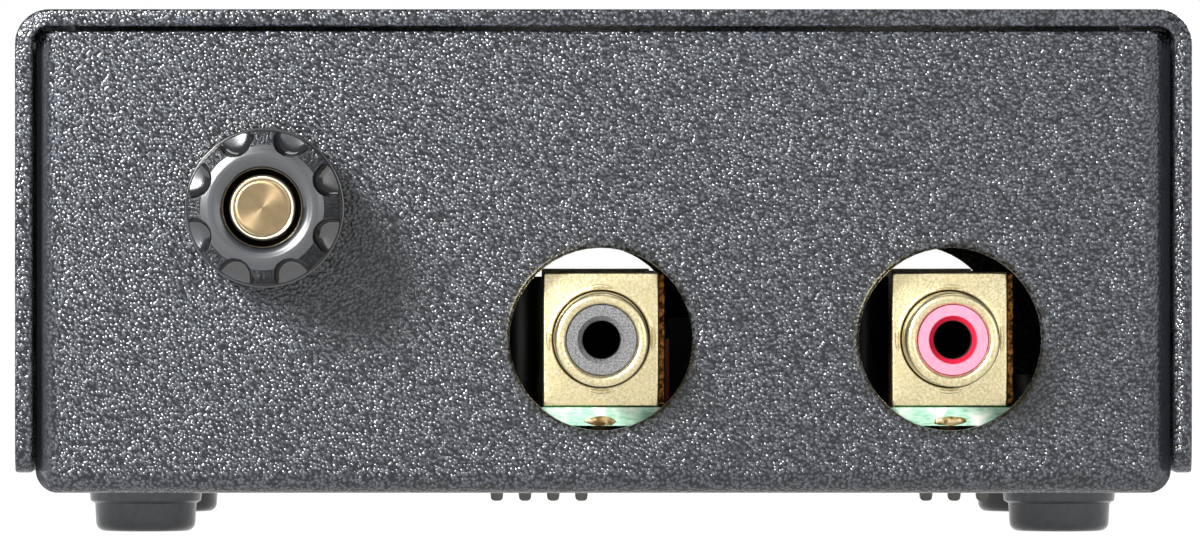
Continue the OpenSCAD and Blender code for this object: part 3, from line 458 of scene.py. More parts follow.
# Painted shade: the gold is dark along the groove round each input barrel.
for jack in INPUT_JACKS:
    off_groove = gold.math("SUBTRACT", gold.from_axis(*jack_axis(jack)), GROOVE_R * MM)
    out_of_groove = gold.spread(gold.math("ABSOLUTE", off_groove), GROOVE_HALF_WIDTH * MM,
                                (GROOVE_HALF_WIDTH + GROOVE_FADE) * MM)
    plating = gold.blend(out_of_groove, rgb(34, 24, 10), plating)
gold.set("Base Color", plating)
gold.bump(gold.grain(0.16, detail=3), 0.02)
print("finish:", gold.material.name)


# %% Brass and steel
def mottled(name, cell_mm, dark, light, bump_cell_mm, bump_mm, **surface):
    """A finish of two tones that wander into each other, over a fine bump."""
    finish = Finish(name, **surface)
    finish.set("Base Color", finish.blend(finish.grain(cell_mm), dark, light))
    finish.bump(finish.grain(bump_cell_mm), bump_mm)
    print("finish:", name)
    return finish


brass = mottled("turned brass", 0.8, rgb(196, 164, 108), rgb(214, 184, 128), 0.12, 0.006,
                Metallic=1.0, Roughness=0.3)
# Painted shade: the nut's insert and the jacks' contacts lie deep in holes, so they are painted dark.
brass_painted_dark = mottled("brass in a deep bore", 0.5, rgb(26, 20, 14), rgb(52, 38, 24), 0.2, 0.02,
                    Metallic=1.0, Roughness=0.6)
dim_contact = mottled("contact deep in its hole", 0.5, rgb(20, 15, 12), rgb(36, 27, 20), 0.2, 0.01,
                      Metallic=1.0, Roughness=0.6)
steel = mottled("zinc-plated steel", 1.2, rgb(186, 188, 190), rgb(212, 212, 210), 0.2, 0.008,
                Metallic=1.0, Roughness=0.3)

# %% [markdown]
# ## Plastics and rubber
#
# The thumb nut is smoky plastic, polished like glass at its sides and satin on the ring that faces the
# camera, where the mould was turned on a lathe. One material does both: the surface's own direction says
# whether a point faces out along the nut's axis, and roughness, colour and turning marks follow that. The
# lighter colour of the ring is partly its satin finish and partly a painted sheen. The high index of
# refraction stands for the strong shine of such a nut.
#
# The jacks' insulators are black and red, and matt from handling. Each has a funnel and a hole for the pin.
# Inside the hole the colour is almost black: in a picture no light comes out of so narrow a bore.

# %% Smoky plastic
smoke = Finish("smoky plastic", IOR=1.95)
facing_out = smoke.spread(smoke.math("ABSOLUTE", smoke.facing("Y")), 0.75, 0.92)
# Lighter on the ring that faces out: partly its satin finish, partly a painted sheen.
smoke.set("Base Color", smoke.blend(facing_out, rgb(10, 11, 13), rgb(30, 33, 38)))
smoke.set("Roughness", smoke.spread(facing_out, 0, 1, 0.07, 0.3))
ring_marks = smoke.lathe_marks(*node_axis("ground_nut"), 0.16)
smoke.bump(smoke.math("MULTIPLY", ring_marks, facing_out), 0.02)
print("finish:", smoke.material.name)


# %% The jacks' insulators
PIN_HOLE = (1.68, 1.72)
FUNNEL = (2.06, 2.18)


def beyond(finish, jack, band):
    """0 inside a jack's hole or funnel and 1 outside. band is where the change starts and ends."""
    starts, ends = band
    return finish.spread(finish.from_axis(*jack_axis(jack)), starts * MM, ends * MM)


insulator_grey = Finish("worn black insulator", Roughness=0.3)
flecks = insulator_grey.spread(insulator_grey.grain(0.14, detail=3, roughness=0.7), 0.35, 0.65)
face_grey = insulator_grey.blend(flecks, rgb(52, 52, 54), rgb(142, 142, 142))
out_of_hole = beyond(insulator_grey, "input_left", PIN_HOLE)
insulator_grey.set("Base Color", insulator_grey.blend(out_of_hole, rgb(8, 8, 8), face_grey))
insulator_grey.set("Roughness", insulator_grey.spread(out_of_hole, 0, 1, 0.8, 0.3))
insulator_grey.bump(insulator_grey.grain(0.16, detail=3), 0.035)

red_plastic = Finish("red plastic", Roughness=0.3)
face_pink = red_plastic.blend(red_plastic.grain(0.3, detail=3), rgb(212, 116, 142), rgb(230, 150, 170))
funnel_red = red_plastic.blend(red_plastic.grain(0.4), rgb(182, 22, 48), rgb(212, 40, 68))
out_of_hole = beyond(red_plastic, "input_right", PIN_HOLE)
funnel_red = red_plastic.blend(out_of_hole, rgb(40, 4, 8), funnel_red)
out_of_funnel = beyond(red_plastic, "input_right", FUNNEL)
red_plastic.set("Base Color", red_plastic.blend(out_of_funnel, funnel_red, face_pink))
red_plastic.set("Roughness", red_plastic.spread(out_of_hole, 0, 1, 0.8, 0.3))
red_plastic.bump(red_plastic.grain(0.16, detail=3), 0.02)
print("finishes:", insulator_grey.material.name, "and", red_plastic.material.name)

# %% Switches and feet
black_plastic = Finish("black plastic", Roughness=0.42)
black_tone = black_plastic.blend(black_plastic.grain(0.3), rgb(48, 48, 52), rgb(72, 72, 78))
black_plastic.set("Base Color", black_tone)
black_plastic.bump(black_plastic.grain(0.14, detail=3), 0.03)

# The knobs are lighter than their own grey: painted light against the shade under the box.
knob_plastic = mottled("knob plastic", 0.6, rgb(204, 206, 194), rgb(220, 222, 210), 0.2, 0.01, Roughness=0.45)

rubber = Finish("rubber", Roughness=0.22)
rubber.set("Base Color", rubber.blend(rubber.grain(0.7, detail=3), rgb(58, 60, 64), rgb(88, 91, 96)))
rubber.bump(rubber.grain(0.6, detail=3), 0.03)
print("finishes:", black_plastic.material.name, "and", rubber.material.name)

# %% [markdown]
# ## Board and components
#
# The front edge of the board is all that shows of it through the jack holes: glass cloth and resin, sawn, so
# it is pale green with fibres along it, and pale, almost white patches that are painted highlights. Seen from
# the inside it has a green mask on its flat sides, so the direction of the surface chooses between the two.
# The components are dipped, sleeved or moulded, and a mottled finish is enough for what shows of them past
# the jacks.

# %% The board
laminate = Finish("board", Roughness=0.35)
fibres = laminate.spread(laminate.grain(0.35, detail=3, stretch=(2.5, 2.5, 0.5)), 0.3, 0.7)
cut_edge = laminate.blend(fibres, rgb(118, 172, 140), rgb(186, 222, 202))
# Painted highlights: pale, almost white patches at random on the sawn edge.
painted_highlights = laminate.spread(laminate.grain(2.6, detail=3, distortion=0.5), 0.5, 0.66)
cut_edge = laminate.blend(painted_highlights, cut_edge, rgb(226, 232, 220))
mask = laminate.blend(laminate.grain(2.2), rgb(22, 92, 58), rgb(34, 116, 76))
flat_side = laminate.spread(laminate.math("ABSOLUTE", laminate.facing("Z")), 0.5, 0.6)
laminate.set("Base Color", laminate.blend(flat_side, cut_edge, mask))
laminate.bump(laminate.grain(0.3), 0.02)
print("finish:", laminate.material.name)

# %% The components
film_coat = mottled("film capacitor coat", 0.8, rgb(196, 48, 30), rgb(226, 70, 44), 0.6, 0.02, Roughness=0.3)
can_sleeve = mottled("capacitor sleeve", 1.0, rgb(22, 23, 28), rgb(32, 33, 40), 0.8, 0.01, Roughness=0.32)
resistor_coat = mottled("resistor coat", 0.6, rgb(92, 148, 196), rgb(116, 170, 214), 0.4, 0.02,
                        Roughness=0.35)
wire_green = mottled("wire insulation", 0.5, rgb(36, 112, 56), rgb(52, 134, 70), 0.3, 0.01, Roughness=0.4)

# %% [markdown]
# ## One finish for each node
#
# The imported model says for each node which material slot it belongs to. So most finishes are given by slot,
# and only the pieces that look different from others of their slot are named.

# %% Give every CAD node its finish
FINISHES = {"powder_coat": powder, "smoke_plastic": smoke, "brass": brass, "gold_plate": gold,
            "bright_steel": steel, "board_green": laminate, "black_plastic": black_plastic,
            "red_plastic": red_plastic, "knob_plastic": knob_plastic, "rubber": rubber, "film_red": film_coat,
            "can_sleeve": can_sleeve, "resistor_coat": resistor_coat, "wire_green": wire_green}

OWN_FINISHES = {"ground_nut_insert": brass_painted_dark}
OWN_FINISHES.update({jack + "_contact": dim_contact for jack in JACKS})
OWN_FINISHES.update({jack + "_insulator": insulator_grey for jack in JACKS if jack.endswith("left")})

for part in frame["record"]["subparts"]:
    finish = OWN_FINISHES.get(part["node"], FINISHES[part["material_slot"]])
    for holder in nodes[part["node"]].material_slots:
        holder.material = finish.material


# %% [markdown]
# ## The cover
#
# The cover is one sheet, 1.5 mm thick, folded down at both sides. A punch leaves a sheet's edge rolled over
# on one side and sharp on the other, and powder rounds what is left. The soft inner edge is what sparkles on
# the right-hand wall. A solid box with a bevel would have the same round everywhere. So the sheet is swept: a
# section of the sheet, with its own radius at each corner, is carried along the folded outline.

# %% Helpers for mesh pieces
SOFT_ANGLE = 35
SAME_PLACE = 0.001


def shade(mesh):
    """Smooth shading, with an edge kept sharp where its faces meet at more than SOFT_ANGLE degrees."""
    for face in mesh.polygons:
        face.use_smooth = True
    mesh.set_sharp_from_angle(angle=math.radians(SOFT_ANGLE))


def clean_mesh(name, corners, faces):
    """A mesh from corners in millimetres, with doubled corners joined and every face turned outwards."""
    mesh = bpy.data.meshes.new(name)
    mesh.from_pydata([Vector(corner) * MM for corner in corners], [], faces)
    mesh.validate()
    tidy = bmesh.new()
    tidy.from_mesh(mesh)
    bmesh.ops.remove_doubles(tidy, verts=tidy.verts, dist=SAME_PLACE * MM)
    bmesh.ops.recalc_face_normals(tidy, faces=tidy.faces)
    tidy.to_mesh(mesh)
    tidy.free()
    return mesh


def make_piece(name, corners, faces, finish, slot, body="root", stands_for=()):
    """A new piece of the object, from corners in millimetres."""
    mesh = clean_mesh(name, corners, faces)
    shade(mesh)
    mesh.materials.append(finish.material)
    piece = bpy.data.objects.new(name, mesh)
    bpy.context.scene.collection.objects.link(piece)
    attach(piece, body)
    if stands_for:
        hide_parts(*stands_for)
    return piece


def loft(rings, capped=False):
    """Corners and faces between rings of one length, from first to last, with both ends closed if capped."""
    length = len(rings[0])
    faces = [(row * length + point, row * length + (point + 1) % length,
              (row + 1) * length + (point + 1) % length, (row + 1) * length + point)
             for row in range(len(rings) - 1) for point in range(length)]
    if capped:
        last = (len(rings) - 1) * length
        faces += [tuple(range(length)), tuple(range(last, last + length))[::-1]]
    return [corner for ring in rings for corner in ring], faces


def join_shapes(shapes):
    """One list of corners and one of faces, from several (corners, faces)."""
    corners, faces = [], []
    for more_corners, more_faces in shapes:
        faces += [tuple(corner + len(corners) for corner in face) for face in more_faces]
        corners += more_corners
    return corners, faces


def node_box(name):
    """Lowest and highest corner of a CAD node in millimetres."""
    low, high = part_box(name)
    return low / MM, high / MM


# %% [markdown]
# ### The section of the sheet
#
# The section is a rectangle with a round at each corner, 20 points in all. Its outer front corner is drawn
# in where the sheet is stretched round a bend. Its inner front corner is a plain small round at the left, and
# the slope of a rollover at the right.

# %% Draw the section
SHEET = 1.5
SHARP_EDGE = 0.24
PLAIN_EDGE = 0.3
ROLLOVER_WIDTH = 0.8
ROLLOVER_TURN = ((0.22, 0.0), (0.07, 0.02), (0.0, 0.1))
ROLLOVER_LAND = (0.05, 0.2)


def corner_arc(centre, radius, start, steps=4):
    """Points of a quarter circle, anticlockwise from start degrees."""
    turns = [math.radians(start + 90 * step / steps) for step in range(steps + 1)]
    return [(centre[0] + radius * math.cos(turn), centre[1] + radius * math.sin(turn)) for turn in turns]


def inner_edge(front, inner, rollover):
    """Five points from the inner side of the sheet to its front, over a small round or a rollover's slope."""
    if not rollover:
        return corner_arc((front + PLAIN_EDGE, inner - PLAIN_EDGE), PLAIN_EDGE, 90)
    turn = [(front + rollover + back, inner - into) for back, into in ROLLOVER_TURN]
    back, into = ROLLOVER_LAND
    land = [(front + back, inner - ROLLOVER_WIDTH + into), (front, inner - ROLLOVER_WIDTH)]
    return turn + land


def sheet_section(front, rear, thin, drawn=0.0, rollover=0.0):
    """The sheet's section as (depth, thickness) points. thin is how much the free edge narrows it here, drawn
    how far the stretched outer side of a bend is drawn in, and rollover how far the inner edge slopes."""
    outer, inner = thin, SHEET - thin
    return (corner_arc((front + SHARP_EDGE + drawn, outer + SHARP_EDGE), SHARP_EDGE, 180)
            + corner_arc((rear - SHARP_EDGE - drawn, outer + SHARP_EDGE), SHARP_EDGE, 270)
            + corner_arc((rear - PLAIN_EDGE, inner - PLAIN_EDGE), PLAIN_EDGE, 0)
            + inner_edge(front, inner, rollover))


SECTION_POINTS = len(sheet_section(0, 10, 0))
print("the sheet's section has", SECTION_POINTS, "points")

# %% Sweep the cover
COVER_BEND = 3.0
COVER_CORNER = 2.0
ROLLOVER = 0.27
SET_BACK = 1.0
DRAWN_IN = 0.4
NEAR = 0.02
BEND_STEPS = 12

cover_low, cover_high = node_box("cover")


def rounded_heights(radius, turns):
    """Heights over the free edge at which a round of that radius has turned by so many degrees."""
    return [radius * (1 - math.cos(math.radians(turn))) for turn in turns]


def fold_stations():
    """Stations along the right half of the folded outline, from the free edge to the middle of the top.
    Each is (x, z, inward x, inward z, height above the free edge, share of the bend's draw)."""
    half, top, foot = cover_high.x, cover_high.z, cover_low.z
    heights = rounded_heights(SHARP_EDGE, (0, 30, 60, 90)) + rounded_heights(COVER_CORNER, (45, 60, 75, 90))
    stations = [(half, foot + height, -1, 0, height, 0) for height in heights]
    for step in range(BEND_STEPS + 1):
        turn = math.radians(90 * step / BEND_STEPS)
        out_x, out_z = math.cos(turn), math.sin(turn)
        x = half - COVER_BEND + COVER_BEND * out_x
        z = top - COVER_BEND + COVER_BEND * out_z
        stations.append((x, z, -out_x, -out_z, COVER_BEND + top - foot, math.sin(2 * turn)))
    return stations


def sweep_cover():
    """Corners and faces of the whole sheet, from one free edge over the top to the other."""
    right = fold_stations()
    left = [(-x, z, -inward_x, inward_z, height, draw) for x, z, inward_x, inward_z, height, draw in right]
    rings = []
    for x, z, inward_x, inward_z, height, draw in right + left[::-1]:
        edge = max(0, SHARP_EDGE - height)
        thin = SHARP_EDGE - math.sqrt(SHARP_EDGE ** 2 - edge ** 2)
        rise = max(0, COVER_CORNER - height)
        inset = COVER_CORNER - math.sqrt(COVER_CORNER ** 2 - rise ** 2)
        rollover = ROLLOVER * (1 + inward_z) if x > 0 and height > COVER_CORNER - NEAR else 0
        front, rear = cover_low.y + SET_BACK + inset, cover_high.y - SET_BACK - inset
        section = sheet_section(front, rear, thin, DRAWN_IN * draw, rollover)
        rings.append([(x + inward_x * into, depth, z + inward_z * into) for depth, into in section])
    return loft(rings, capped=True)


cover = make_piece("cover_sheet", *sweep_cover(), powder, "powder_coat", stands_for=["cover"])
print("cover sheet:", len(cover.data.vertices), "points")

# %% [markdown]
# ### Screw holes
#
# Four countersunk screws hold the cover. Their holes are turned shapes that are cut out of the sheet with a
# boolean. It is applied at once, because later steps want a plain mesh.


# %% Sink the screw holes
def carve(piece, cutter_mesh):
    """Cuts a mesh out of a piece for good."""
    cutter = bpy.data.objects.new("cutter", cutter_mesh)
    bpy.context.scene.collection.objects.link(cutter)
    cut = piece.modifiers.new("cut", "BOOLEAN")
    cut.operation = "DIFFERENCE"
    cut.solver = "EXACT"
    cut.object = cutter
    carved = bpy.data.meshes.new_from_object(piece.evaluated_get(bpy.context.evaluated_depsgraph_get()))
    piece.modifiers.clear()
    piece.data = carved
    bpy.data.objects.remove(cutter)
    shade(carved)


def turned(outline, centre, axis, steps=48):
    """Corners and faces of a turned shape. outline is (distance along the axis, radius) points."""
    along = Vector(axis)
    across = Vector((0, 0, 1))
    side = along.cross(across)
    corners = []
    for step in range(steps):
        turn = 2 * math.pi * step / steps
        out = across * math.cos(turn) + side * math.sin(turn)
        corners += [Vector(centre) + along * distance + out * radius for distance, radius in outline]
    count = len(outline)
    faces = [(step * count + point, step * count + point + 1,
              (step + 1) % steps * count + point + 1, (step + 1) % steps * count + point)
             for step in range(steps) for point in range(count - 1)]
    return corners, faces


SCREW_HEAD = 5.5
SCREW_SHANK = 3.2
SINK_EDGE = 0.1
THROUGH = 4
ABOVE = 1
ROW_NUDGE = 0.01

screw_low, screw_high = node_box("cover_screws")
SCREW_ROWS = (screw_low.y + SCREW_HEAD / 2 - ROW_NUDGE, screw_high.y - SCREW_HEAD / 2 + ROW_NUDGE)
screw_z = (screw_low.z + screw_high.z) / 2
shank_r, mouth_r = SCREW_SHANK / 2, SCREW_HEAD / 2 + SINK_EDGE
sink_depth = (SCREW_HEAD - SCREW_SHANK) / 2
sink = [(-THROUGH, 0), (-THROUGH, shank_r), (-sink_depth, shank_r),
        (0, mouth_r), (ABOVE, mouth_r), (ABOVE, 0)]
for side in (-1, 1):
    for row in SCREW_ROWS:
        hole = turned(sink, (side * cover_high.x, row, screw_z), (side, 0, 0))
        carve(cover, clean_mesh("cutter", *hole))
print("cover with screw holes:", len(cover.data.vertices), "points")

# %% [markdown]
# ## The tray
#
# Floor, side flanges and both end panels are one folded sheet. Its shape stays the CAD one, with every hole
# and relief. What it lacks is the soft edge that powder leaves, which shows as a line of light along the top
# of each panel and at the lower right of each hole. So a copy of the mesh is bevelled, and only along chosen
# edges: a bevel on everything would be held back by the smallest edge there is.
#
# Two more things are pressed into the copy. The panels' upright bends get a crisp front and a flat side, as a
# press brake leaves them. And round the jack holes and along the top, the bevel's points are moved back along
# one slope, which is what a punch does to the sheet that it enters.

# %% Helpers to round a copy of a CAD node
JOIN_WITHIN = 0.002
FLAT_WITHIN = 1
SHARP_FROM = 40


def joined_copy(node):
    """A CAD node's mesh for editing, with its split corners joined and its flat faces whole."""
    tidy = bmesh.new()
    tidy.from_mesh(nodes[node].data)
    bmesh.ops.remove_doubles(tidy, verts=tidy.verts, dist=JOIN_WITHIN * MM)
    bmesh.ops.dissolve_limit(tidy, angle_limit=math.radians(FLAT_WITHIN), verts=tidy.verts, edges=tidy.edges)
    return tidy


def round_over(tidy, radius_mm, chosen):
    """Rounds every sharp outer edge for which chosen(one end, other end) holds, in millimetres."""
    edges = [edge for edge in tidy.edges
             if edge.calc_face_angle_signed(0) > math.radians(SHARP_FROM)
             and chosen(edge.verts[0].co / MM, edge.verts[1].co / MM)]
    bmesh.ops.bevel(tidy, geom=edges, offset=radius_mm * MM, segments=3, profile=0.5, affect="EDGES",
                    clamp_overlap=False)
    return len(edges)


def stand_in(tidy, node, name, finish):
    """Makes the edited mesh a piece that stands for its CAD node."""
    mesh = bpy.data.meshes.new(name)
    tidy.to_mesh(mesh)
    tidy.free()
    shade(mesh)
    mesh.materials.append(finish.material)
    piece = bpy.data.objects.new(name, mesh)
    bpy.context.scene.collection.objects.link(piece)
    flat_faces = piece.modifiers.new("large faces stay flat", "WEIGHTED_NORMAL")
    flat_faces.keep_sharp = True
    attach(piece, "root")
    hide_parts(node)
    return piece


# %% Press the panels' upright bends
SIDE_BEND = 2.4
FRONT_LAND = 1.0
FLANK_SLOPE = 1.35

tray_low, tray_high = node_box("chassis_tray")
PANEL_FACES = ((tray_low.y, 1), (tray_high.y, -1))


def pressed(point):
    """How far a point of a panel's upright bend moves back, for a crisp front and a flat side."""
    centre_x = tray_high.x - SIDE_BEND
    for face, inwards in PANEL_FACES:
        deep = (point.y - face) * inwards
        out = abs(point.x) - centre_x
        if 0 <= deep < SIDE_BEND and out > 0:
            outer_share = (math.hypot(out, SIDE_BEND - deep) - SIDE_BEND + SHEET) / SHEET
            arc_depth = SIDE_BEND - math.sqrt(max(0, SIDE_BEND ** 2 - out ** 2))
            flank = max(0, (out - FRONT_LAND) * FLANK_SLOPE)
            return inwards * max(0, outer_share) * max(0, flank - arc_depth)
    return 0


tray_mesh = joined_copy("chassis_tray")
for corner in tray_mesh.verts:
    corner.co.y += pressed(corner.co / MM) * MM
print("tray:", len(tray_mesh.verts), "points before its edges are rounded")

# %% Round the tray's edges
TOP_EDGE = 0.55
TOP_SLOPE = 0.24
HOLE_EDGE = 0.6
HOLE_SLOPE = 0.41
JACK_HOLE_R = 8.0
OFF_THE_RIM = 0.003
BEFORE_THE_FLAT = 0.01


def level(first, second, axis, value):
    """Whether both ends of an edge lie at one value along an axis."""
    return abs(first[axis] - value) < NEAR and abs(second[axis] - value) < NEAR


def at_tray_top(first, second):
    return level(first, second, 2, tray_high.z)


def on_panel_face(first, second):
    return level(first, second, 1, tray_low.y) or level(first, second, 1, tray_high.y)


def sloped_back(distance, width, slope):
    """How far back a point of a rounded edge lies on the slope, or None if it isn't between rim and flat."""
    if OFF_THE_RIM < distance < width - BEFORE_THE_FLAT:
        return slope * (width - distance)
    return None


top_edges = round_over(tray_mesh, TOP_EDGE, at_tray_top)
face_edges = round_over(tray_mesh, HOLE_EDGE, on_panel_face)
jack_holes = [jack_axis(jack) for jack in INPUT_JACKS]
for corner in tray_mesh.verts:
    point = corner.co / MM
    to_rim = min(math.hypot(point.x - x, point.z - z) for x, z in jack_holes) - JACK_HOLE_R
    to_top = tray_high.z - point.z
    for face, inwards in PANEL_FACES:
        deep = (point.y - face) * inwards
        for distance, width, slope in ((to_rim, HOLE_EDGE, HOLE_SLOPE), (to_top, TOP_EDGE, TOP_SLOPE)):
            back = sloped_back(distance, width, slope)
            if back is not None and 0 <= deep < width:
                corner.co.y = (face + inwards * back) * MM
stand_in(tray_mesh, "chassis_tray", "tray_sheet", powder)
print("tray: rounded", top_edges, "edges at the top and", face_edges, "on the panels")

# %% [markdown]
# ## The thumb nut
#
# A moulded nut of smoky plastic: a thin round rim, a skirt that tapers, eight scallops for the fingers and a
# crowned ring round the mouth. The scallops' lower ends are hollows that a ball-nosed cutter leaves. The nut
# is made as a stack of outlines, one for each height: every outline has the same count of points, a circle
# where no scallop reaches, and lobes with softened edges where they do.

# %% Outline of the nut at one height
SCALLOPS = 8
SCALLOP_R = 1.5
SCALLOP_AXIS = 6.35
LOBE_EDGE = 0.3
SCALLOP_STEPS = 6
EDGE_STEPS = 4


def sweep_arc(centre, radius, start, end, steps):
    """Points of an arc as complex numbers, angles in radians."""
    return [centre + cmath.rect(radius, start + (end - start) * step / steps) for step in range(steps + 1)]


def half_lobe(radius, axis):
    """Points from a scallop's middle to the middle of the next lobe. The scallop lies along the real axis."""
    reach = radius - LOBE_EDGE
    cosine = (reach ** 2 + axis ** 2 - (SCALLOP_R + LOBE_EDGE) ** 2) / (2 * reach * axis)
    turn = math.acos(min(1, cosine))
    lobe = sweep_arc(0, radius, turn, math.pi / SCALLOPS, EDGE_STEPS)
    if turn == 0:
        return lobe[:1] * (SCALLOP_STEPS + EDGE_STEPS) + lobe
    soft = cmath.rect(reach, turn)
    scallop = sweep_arc(axis, SCALLOP_R, math.pi, cmath.phase(soft - axis), SCALLOP_STEPS)
    edge = sweep_arc(soft, LOBE_EDGE, cmath.phase(axis - soft), turn, EDGE_STEPS)
    return scallop[:-1] + edge[:-1] + lobe


def nut_outline(radius, axis):
    """The whole outline: half a lobe, mirrored and copied round the nut."""
    half = half_lobe(radius, axis)
    period = [point.conjugate() for point in half[:0:-1]] + half[:-1]
    return [point * cmath.rect(1, math.pi * (2 * copy + 1) / SCALLOPS)
            for copy in range(SCALLOPS) for point in period]


print("nut outline:", SCALLOPS, "scallops of", SCALLOP_R, "mm radius")

# %% [markdown]
# ### Where each outline lies
#
# The nut's half section goes from the bore at its base, out over the rim, up the skirt, over the crown and
# down into the mouth. It is a list of heights and radii, closer together where the shape bends more. The base
# starts a hair in front of the washer, so that the two never share a plane as the nut turns.

# %% Measure the nut
NUT_RIM = 1.0
BASE_GAP = 0.03
RIM_EDGE = 0.15
SKIRT_R = 6.75
FACE_R = 5.4
RIDGE_R = 4.55
CROWN_R = 1.55
MOUTH_R = 3.4
MOUTH_EDGE = 0.12
NUT_BORE_R = 4.15
INSERT_LENGTH = 6
HOLLOW_START = 1.4
HOLLOW_LENGTH = 1.6
HOLLOW_RUN_OUT = 2.2
HOLLOW_SHARES = (0, 0.15, 0.25, 0.35, 0.45, 0.6, 0.75, 0.88, 1)
SKIRT_HEIGHTS = (4.5, 6, 7.5, 9, 10.2)
SHOULDER = 0.22
CROWN_STEPS = 12

nut_low, nut_high = node_box("ground_nut")
NUT_BASE = nut_high.y
NUT_LENGTH = nut_high.y - nut_low.y
nut_x, nut_z = node_axis("ground_nut")
NUT_RIM_R = nut_high.x - nut_x
print("nut:", round(2 * NUT_RIM_R, 1), "mm across its rim and", round(NUT_LENGTH, 1), "mm long")


# %% Heights and radii of the outlines
def skirt_radius(height):
    """The skirt's radius at one height. It tapers from the rim to the face."""
    foot = NUT_RIM + NUT_RIM_R - SKIRT_R
    return SKIRT_R + (FACE_R - SKIRT_R) * (height - foot) / (NUT_LENGTH - foot)


def scallop_axis(height):
    """How far the scallop's axis lies from the nut's: it runs out below, as a ball-nosed cutter does."""
    left = min(1, max(0, (HOLLOW_START + HOLLOW_LENGTH - height) / HOLLOW_LENGTH))
    return SCALLOP_AXIS + HOLLOW_RUN_OUT * (1 - math.sqrt(1 - left ** 2))


def curve_between(first, bend, last, steps=5):
    """Points of a smooth corner between two (height, radius) points."""
    shares = [step / steps for step in range(steps + 1)]
    return [tuple((1 - s) ** 2 * a + 2 * s * (1 - s) * b + s ** 2 * c for a, b, c in zip(first, bend, last))
            for s in shares]


def crown_height(radius):
    """Height of the crowned ring at one radius."""
    return NUT_LENGTH - CROWN_R + math.sqrt(CROWN_R ** 2 - (radius - RIDGE_R) ** 2)


def rim_levels():
    """The round lower and upper edges of the rim."""
    low_edge = ((BASE_GAP, NUT_RIM_R - RIM_EDGE), (BASE_GAP, NUT_RIM_R), (RIM_EDGE, NUT_RIM_R))
    high_edge = ((NUT_RIM - RIM_EDGE, NUT_RIM_R), (NUT_RIM, NUT_RIM_R), (NUT_RIM, NUT_RIM_R - RIM_EDGE))
    return curve_between(*low_edge, 3) + curve_between(*high_edge, 3)


def nut_levels():
    """(height, radius) from the bore at the base, out over the rim, up the skirt and over the crown."""
    levels = [(INSERT_LENGTH, NUT_BORE_R), (BASE_GAP, NUT_BORE_R)] + rim_levels()
    levels.append((NUT_RIM + NUT_RIM_R - SKIRT_R, SKIRT_R))
    heights = [HOLLOW_START + HOLLOW_LENGTH * share ** 2 for share in HOLLOW_SHARES] + list(SKIRT_HEIGHTS)
    levels += [(height, skirt_radius(height)) for height in heights]
    shoulder = NUT_LENGTH - 2 * SHOULDER / 3
    crown_start = skirt_radius(shoulder) - SHOULDER * 0.7
    below = (shoulder - SHOULDER, skirt_radius(shoulder - SHOULDER))
    above = (crown_height(crown_start), crown_start)
    levels += curve_between(below, (shoulder, skirt_radius(shoulder)), above)
    inward = (MOUTH_R + MOUTH_EDGE - crown_start) / CROWN_STEPS
    crown = [crown_start + inward * step for step in range(1, CROWN_STEPS + 1)]
    levels += [(crown_height(radius), radius) for radius in crown]
    levels.append((crown_height(MOUTH_R) - MOUTH_EDGE, MOUTH_R))
    return levels + [(INSERT_LENGTH, MOUTH_R), (INSERT_LENGTH, NUT_BORE_R)]


# %% Stack the outlines
def ring_at(outline, x, y, z):
    """An outline of complex numbers, laid square to Y."""
    return [(x + point.real, y, z + point.imag) for point in outline]


nut_rings = [ring_at(nut_outline(radius, scallop_axis(height)), nut_x, NUT_BASE - height, nut_z)
             for height, radius in nut_levels()]
make_piece("thumb_nut", *loft(nut_rings), smoke, "smoke_plastic", body="ground_nut",
           stands_for=["ground_nut"])
print("thumb nut:", len(nut_rings), "outlines of", len(nut_rings[0]), "points")

# %% [markdown]
# ## The ground stud
#
# The stud is turned from brass: a fixed collar against the panel, a 1 mm thread for the nut, and a thread
# through the panel for the lock nut. Its end is faced off and has a groove, so that the photo shows a disc
# with a bright ring round it. The ring's almost white colour is a painted highlight, and the darker brass of
# the disc is a painted dark reflection. A thread is a radius that depends on the height less the turn, so one
# formula gives every point. Facing leaves circular tool marks, which spread a highlight into a bow tie: that
# is an anisotropic finish whose direction runs round the axis.

# %% Brass as the lathe leaves it, with a painted highlight and a painted reflection
RING_PAINTED_BRIGHT = (2.36, 2.46)

faced_brass = Finish("faced brass", Metallic=1.0, Roughness=0.28, Anisotropic=0.75)
ring_starts, ring_ends = RING_PAINTED_BRIGHT
on_ring = faced_brass.spread(faced_brass.from_axis(nut_x, nut_z), ring_starts * MM, ring_ends * MM)
# Painted reflection and highlight: a darker disc and an almost white ring.
disc_brass = faced_brass.blend(faced_brass.grain(0.6), rgb(140, 120, 88), rgb(166, 146, 114))
faced_brass.set("Base Color", faced_brass.blend(on_ring, disc_brass, rgb(238, 228, 200)))
round_the_axis = faced_brass.add("ShaderNodeTangent", direction_type="RADIAL", axis="Y")
faced_brass.set("Tangent", round_the_axis.outputs[0])
faced_brass.bump(faced_brass.lathe_marks(nut_x, nut_z, 0.1), 0.004)
print("finish:", faced_brass.material.name)

# %% Cut the thread
THREAD_DEPTH = 0.4
THREAD_PITCH = 1.0
ROD_POINTS = 48
STEPS_A_TURN = 8
TURNS_TO_FADE = 0.5
FLAT_ROOT = 1.3

stud_low, stud_high = node_box("ground_stud")
panel_face = tray_low.y
stud_reach = panel_face - stud_low.y


